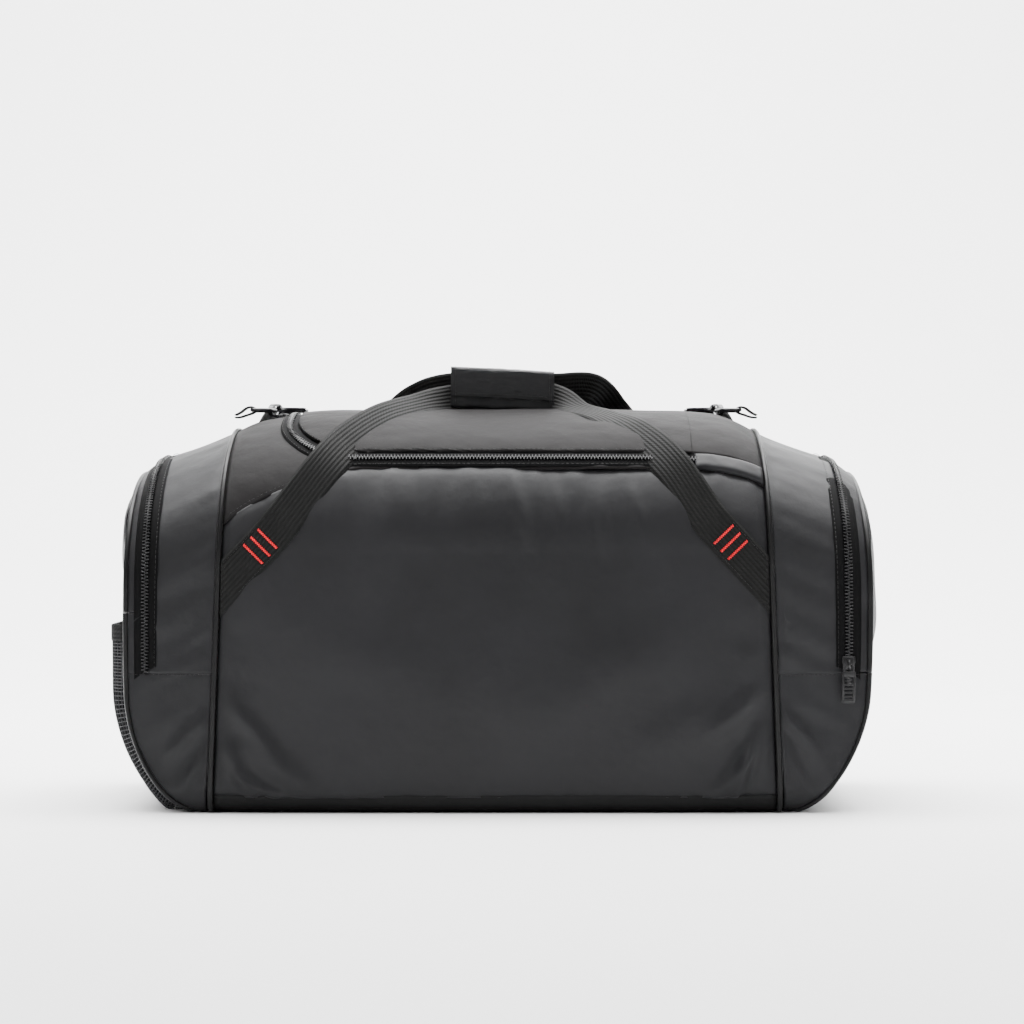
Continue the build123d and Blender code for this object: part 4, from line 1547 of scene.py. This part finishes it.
def soft_line(route, name):
    """Close points read from the smooth spline that a strap follows."""
    guide = bpy.data.curves.new(name, "CURVE")
    guide.dimensions = "3D"
    line = guide.splines.new("NURBS")
    line.points.add(len(route) - 1)
    for control, place in zip(line.points, route):
        control.co = (*place, 1)
    line.order_u = 3
    line.use_endpoint_u = True
    line.resolution_u = 14
    carrier = bpy.data.objects.new(name, guide)
    bpy.context.collection.objects.link(carrier)
    dense = [v.co.copy() for v in bpy.data.meshes.new_from_object(carrier).vertices]
    bpy.data.objects.remove(carrier)
    return dense


def strap_turns(stations, dense):
    """The across direction and normal of a strap at close points, from its stations."""
    acrosses, normals = [], []
    for point in dense:
        best = None
        for first, second in zip(stations, stations[1:]):
            a, b = Vector(first[0]), Vector(second[0])
            share = min(1.0, max(0.0, (point - a).dot(b - a) / (b - a).length_squared))
            gap = (a.lerp(b, share) - point).length
            if best is None or gap < best[0]:
                best = (
                    gap,
                    Vector(first[1]).lerp(Vector(second[1]), share),
                    Vector(first[2]).lerp(Vector(second[2]), share),
                )
        acrosses.append(best[1].normalized())
        normals.append(best[2].normalized())
    return acrosses, normals


def make_cord(name, body, dense, acrosses, normals, nodes):
    """A strap along close points, as a piece with its length."""
    strap = bmesh.new()
    length = add_ribbon(strap, dense, acrosses, WEBBING, normals, thickness=0.0018)
    bmesh.ops.recalc_face_normals(strap, faces=strap.faces[:])
    piece = finish_piece(name, strap, body, "webbing", nodes, settled=False)
    return piece, length


def declare_cord(dense, with_pieces=()):
    """Go through a strap's close points; nothing is made or changed."""
    tuple(dense[0])
    [tuple(p) for p in dense]


def build_pad():
    """The quilted pad that lies in the strap's lowest stretch."""
    low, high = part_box("shoulder_pad")
    middle = (low.y + high.y) / 2

    def place(u, v):
        along, across = 2 * u - 1, 2 * v - 1
        x = along * (high.x - 0.001)
        y = middle + across * (high.y - low.y) / 2 * (1 - 0.10 * abs(along) ** 8)
        quilt = 0.0014 * math.cos(along * 21) ** 2
        crown = (1 - abs(along) ** 10) * (1 - abs(across) ** 6)
        return Vector((x, y, 0.0765 + 1.08 * x * x - 0.0016 - (0.0028 + quilt) * crown))

    pad = bmesh.new()
    add_patch(pad, 48, 20, (0.19, 0.062), place)
    face_outward(pad, (0, middle, 0.2))
    piece = finish_piece(
        "shoulder_pad_cloth", pad, "bag", "pad", ("shoulder_pad",), wall=0.0034
    )
    return piece


def build_adjuster():
    """The three-bar slide that sets the strap's length."""
    low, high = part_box("strap_adjuster")
    centre = (low + high) / 2
    wide, tall = high.x - low.x, high.z - low.z
    slide = bmesh.new()
    for side in (-1, 1):
        place = centre + Vector((side * (wide / 2 - 0.0025), 0, 0))
        add_block(slide, place, (0.005, 0.004, tall), 0.001)
    for step in (-1, 0, 1):
        place = centre + Vector((0, 0, step * (tall / 2 - 0.0022)))
        add_block(slide, place, (wide, 0.0036, 0.0044), 0.001)
    return finish_piece(
        "strap_adjuster_plastic", slide, "bag", "pull", ("strap_adjuster",)
    )


def build_strap():
    """The shoulder strap: two ends, the hanging part, its pad and its adjuster."""
    for end, sign in MIRROR.items():
        stations = [
            ((sign * p[0], p[1], p[2]), (a[0], sign * a[1], sign * a[2]), (sign * n[0], n[1], n[2]))
            for p, a, n in STRAP_END
        ]
        dense = soft_line([p for p, _, _ in stations], f"strap_end_guide_{end}")
        joint = ("bag", f"{end}_ring", (sign * 0.259, 0.17, 0.35), (sign * 0.226, 0.05, 0.4134))
        node = f"shoulder_strap_end_{end}"
        turns = strap_turns(stations, dense)
        piece, length = make_cord(f"{node}_webbing", joint, dense, *turns, (node,))
        declare_cord(dense)
    back = [
        ((-p[0], p[1], p[2]), (a[0], -a[1], -a[2]), (-n[0], n[1], n[2])) for p, a, n in STRAP_SIDE
    ][::-1]
    dense = soft_line([p for p, _, _ in (*STRAP_SIDE, *back)], "strap_guide")
    middle = len(dense) // 2
    first = strap_turns(STRAP_SIDE, dense[:middle])
    last = strap_turns(back, dense[middle:])
    acrosses = first[0] + [-across for across in last[0]]
    piece, length = make_cord(
        "shoulder_strap_webbing", "bag", dense, acrosses, first[1] + last[1], ("shoulder_strap",)
    )
    declare_cord(dense, [build_pad(), build_adjuster()])


# Stage -------------------------------------------------------------------------


def build_stage():
    """Camera, pale floor that curves up behind the bag, and soft lights."""
    settings = bpy.context.scene.bag_stage
    distance = settings.camera_distance
    camera = bpy.data.cameras.new("Camera")
    camera.lens = 36 * distance / settings.view_width
    holder = bpy.data.objects.new("Camera", camera)
    bpy.context.collection.objects.link(holder)
    holder.location = (0.017, -DEPTH - distance, 0.302)
    holder.rotation_euler = (math.radians(90), 0, 0)
    bpy.context.scene.camera = holder
    floor = bmesh.new()

    def place(u, v):
        x = -24 + 48 * u
        if v < 0.5:
            return Vector((x, 1.6 - 25 * (1 - 2 * v), -0.0005))
        along = 16 * (v - 0.5)
        turn = min(math.pi / 2, along / 1.5)
        extra = max(0.0, along - 1.5 * math.pi / 2)
        return Vector(
            (x, 1.6 + 1.5 * math.sin(turn), -0.0005 + 1.5 * (1 - math.cos(turn)) + extra)
        )

    add_patch(floor, 24, 120, (48, 33), place)
    mesh = bpy.data.meshes.new("studio_floor")
    floor.to_mesh(mesh)
    floor.free()
    mesh.shade_smooth()
    sheet = bpy.data.objects.new("studio_floor", mesh)
    mesh.materials.append(floor_material("Studio floor", settings.floor_color))
    bpy.context.collection.objects.link(sheet)
    lights = (
        ("Overhead softbox", (0.0, 0.0, 2.2), (0, 0, 0), 2.6, settings.top_power),
        ("Front left softbox", (-1.7, -2.2, 1.7), (0, 0, 0.2), 1.3, settings.front_power),
        ("Front right softbox", (2.0, -2.3, 1.4), (0, 0, 0.2), 1.3, settings.front_power * 0.6),
        ("Rear fill", (0.8, 1.5, 1.9), (0, 0, 0.2), 1.2, settings.front_power),
        ("Backdrop lamp", (0.0, 0.9, 3.0), (0, 3.1, 0.7), 3.0, settings.backdrop_power),
    )
    for name, place, target, size, power in lights:
        lamp = bpy.data.lights.new(name, "AREA")
        lamp.shape = "SQUARE"
        lamp.size = size
        lamp.energy = power
        item = bpy.data.objects.new(name, lamp)
        item.location = place
        aim = Vector(target) - Vector(place)
        item.rotation_euler = aim.to_track_quat("-Z", "Y").to_euler()
        bpy.context.collection.objects.link(item)
    ceiling = bpy.data.lights.new("Ceiling glow", "SUN")
    ceiling.energy = settings.ceiling_strength
    ceiling.angle = math.radians(80)
    bpy.context.collection.objects.link(bpy.data.objects.new("Ceiling glow", ceiling))
    world = bpy.data.worlds.new("Studio")
    world.use_nodes = True
    world.node_tree.nodes["Background"].inputs["Color"].default_value = (1, 1, 1, 1)
    world.node_tree.nodes["Background"].inputs["Strength"].default_value = settings.world_strength
    bpy.context.scene.world = world


# Add-on ------------------------------------------------------------------------


def color_property(name, description, default):
    """A colour setting."""
    return bpy.props.FloatVectorProperty(
        name=name, description=description, subtype="COLOR", size=3, min=0, max=1, default=default
    )


class BagClothSettings(bpy.types.PropertyGroup):
    """Colours of the bag's cloths and threads."""

    body_color: color_property("Body cloth", "Front, back and end panels", (0.0075, 0.0075, 0.0085))
    # Painted shade: the lid and top panels take a darker copy of the body cloth's tone, set to offset
    # the strong light from above.
    lid_shaded_color: color_property("Lid cloth", "Lid and top panels", (0.0060, 0.0053, 0.0055))
    base_color: color_property("Base cloth", "Base panel", (0.002, 0.002, 0.0022))
    lining_color: color_property("Lining", "Walls inside the bag", (0.02, 0.02, 0.022))
    grip_color: color_property("Grip cloth", "Grip wrap and shoulder pad", (0.008, 0.008, 0.0088))
    piping_color: color_property("Piping", "Piping, binding and zip tapes", (0.0028, 0.0028, 0.003))
    webbing_color: color_property("Webbing", "Handles and shoulder strap", (0.0038, 0.0038, 0.0036))
    yarn_color: color_property("Mesh yarn", "Net of the mesh pocket", (0.045, 0.045, 0.047))
    thread_color: color_property("Thread", "Seam stitching", (0.004, 0.004, 0.004))
    tack_color: color_property("Bar tacks", "Dense stitching on the handles", (0.60, 0.004, 0.012))


class BagZipSettings(bpy.types.PropertyGroup):
    """Sizes of the zips."""

    tooth_pitch: bpy.props.FloatProperty(
        name="Tooth pitch", description="Distance from one tooth to the next on one tape",
        default=0.0034, min=0.002, max=0.006, unit="LENGTH", precision=4,
    )


class BagStageSettings(bpy.types.PropertyGroup):
    """Camera, floor and lights."""

    camera_distance: bpy.props.FloatProperty(
        name="Camera distance", description="From the camera to the bag's front",
        default=3.0, unit="LENGTH",
    )
    view_width: bpy.props.FloatProperty(
        name="View width", description="Width of the view at the bag's front",
        default=1.024, unit="LENGTH",
    )
    floor_color: color_property("Floor", "Studio floor", (0.86, 0.86, 0.86))
    top_power: bpy.props.FloatProperty(
        name="Overhead power", description="Overhead softbox", default=8.0, unit="POWER"
    )
    front_power: bpy.props.FloatProperty(
        name="Front power", description="Each front softbox", default=20.0, unit="POWER"
    )
    backdrop_power: bpy.props.FloatProperty(
        name="Backdrop power", description="Lamps on the floor and the wall", default=480.0,
        unit="POWER",
    )
    ceiling_strength: bpy.props.FloatProperty(
        name="Ceiling strength", description="Soft even light from straight above", default=8.0
    )
    world_strength: bpy.props.FloatProperty(
        name="World strength", description="Even light from all round", default=0.08
    )


class PieceOperator:
    """Shared run of the operators that make one group of pieces."""

    bl_options = {"REGISTER", "UNDO"}

    def execute(self, context):
        self.build()
        return {"FINISHED"}


class BAG_OT_stage(PieceOperator, bpy.types.Operator):
    """Set up the camera, floor and lights"""

    bl_idname = "bag.stage"
    bl_label = "Stage"
    build = staticmethod(build_stage)


class BAG_OT_strap(PieceOperator, bpy.types.Operator):
    """Make the shoulder strap, its pad and its adjuster"""

    bl_idname = "bag.strap"
    bl_label = "Shoulder strap"
    build = staticmethod(build_strap)


class BAG_OT_panels(PieceOperator, bpy.types.Operator):
    """Make the front, back and base panels"""

    bl_idname = "bag.panels"
    bl_label = "Panels"
    build = staticmethod(build_panels)


class BAG_OT_top(PieceOperator, bpy.types.Operator):
    """Make the top panels round the lid"""

    bl_idname = "bag.top"
    bl_label = "Top panels"
    build = staticmethod(build_top)


class BAG_OT_lid(PieceOperator, bpy.types.Operator):
    """Make the padded lid"""

    bl_idname = "bag.lid"
    bl_label = "Lid"
    build = staticmethod(build_lid)


class BAG_OT_zips(PieceOperator, bpy.types.Operator):
    """Make the teeth and tapes of the three zips"""

    bl_idname = "bag.zips"
    bl_label = "Zips"
    build = staticmethod(build_zips)


class BAG_OT_ends(PieceOperator, bpy.types.Operator):
    """Make the gussets, panels and flaps of the end pockets"""

    bl_idname = "bag.ends"
    bl_label = "End pockets"
    build = staticmethod(build_ends)


class BAG_OT_piping(PieceOperator, bpy.types.Operator):
    """Make the piping along the seams"""

    bl_idname = "bag.piping"
    bl_label = "Piping"
    build = staticmethod(build_piping)


class BAG_OT_pocket(PieceOperator, bpy.types.Operator):
    """Make the mesh pocket and its elastic binding"""

    bl_idname = "bag.pocket"
    bl_label = "Mesh pocket"
    build = staticmethod(build_pocket)


class BAG_OT_handles(PieceOperator, bpy.types.Operator):
    """Make both handles with their bar tacks"""

    bl_idname = "bag.handles"
    bl_label = "Handles"
    build = staticmethod(build_handles)


class BAG_OT_grip(PieceOperator, bpy.types.Operator):
    """Make the wrap that joins the handles"""

    bl_idname = "bag.grip"
    bl_label = "Grip wrap"
    build = staticmethod(build_grip)


class BAG_OT_stitching(PieceOperator, bpy.types.Operator):
    """Sew the seams"""

    bl_idname = "bag.stitching"
    bl_label = "Seam stitching"
    build = staticmethod(build_stitching)


class BAG_OT_tabs(PieceOperator, bpy.types.Operator):
    """Make the cloth tabs over the zip's ends"""

    bl_idname = "bag.tabs"
    bl_label = "Zip end tabs"
    build = staticmethod(build_tabs)


class BAG_OT_sliders(PieceOperator, bpy.types.Operator):
    """Make the zip sliders and pull tabs"""

    bl_idname = "bag.sliders"
    bl_label = "Sliders and pulls"
    build = staticmethod(build_sliders)


class BAG_OT_rings(PieceOperator, bpy.types.Operator):
    """Make the ring tabs and finish the rings and hooks"""

    bl_idname = "bag.rings"
    bl_label = "Rings and hooks"
    build = staticmethod(build_rings)


OPERATORS = (
    BAG_OT_stage, BAG_OT_strap, BAG_OT_panels, BAG_OT_top, BAG_OT_lid, BAG_OT_zips, BAG_OT_ends,
    BAG_OT_piping, BAG_OT_pocket, BAG_OT_handles, BAG_OT_grip, BAG_OT_stitching, BAG_OT_tabs,
    BAG_OT_sliders, BAG_OT_rings,
)


class BAG_PT_pieces(bpy.types.Panel):
    """Lists the bag's pieces and settings"""

    bl_label = "Hockey bag"
    bl_idname = "BAG_PT_pieces"
    bl_space_type = "VIEW_3D"
    bl_region_type = "UI"
    bl_category = "Bag"

    def draw(self, context):
        for operator in OPERATORS:
            self.layout.operator(operator.bl_idname)
        for group in (context.scene.bag_cloth, context.scene.bag_zips, context.scene.bag_stage):
            for name in group.__annotations__:
                self.layout.prop(group, name)


CLASSES = (BagClothSettings, BagZipSettings, BagStageSettings, *OPERATORS, BAG_PT_pieces)


def register():
    for item in CLASSES:
        bpy.utils.register_class(item)
    bpy.types.Scene.bag_cloth = bpy.props.PointerProperty(type=BagClothSettings)
    bpy.types.Scene.bag_zips = bpy.props.PointerProperty(type=BagZipSettings)
    bpy.types.Scene.bag_stage = bpy.props.PointerProperty(type=BagStageSettings)


def unregister():
    for name in ("bag_cloth", "bag_zips", "bag_stage"):
        delattr(bpy.types.Scene, name)
    for item in reversed(CLASSES):
        bpy.utils.unregister_class(item)


def main():
    register()
    for operator in OPERATORS:
        group, name = operator.bl_idname.split(".")
        getattr(getattr(bpy.ops, group), name)()


if __name__ == "__main__":
    main()
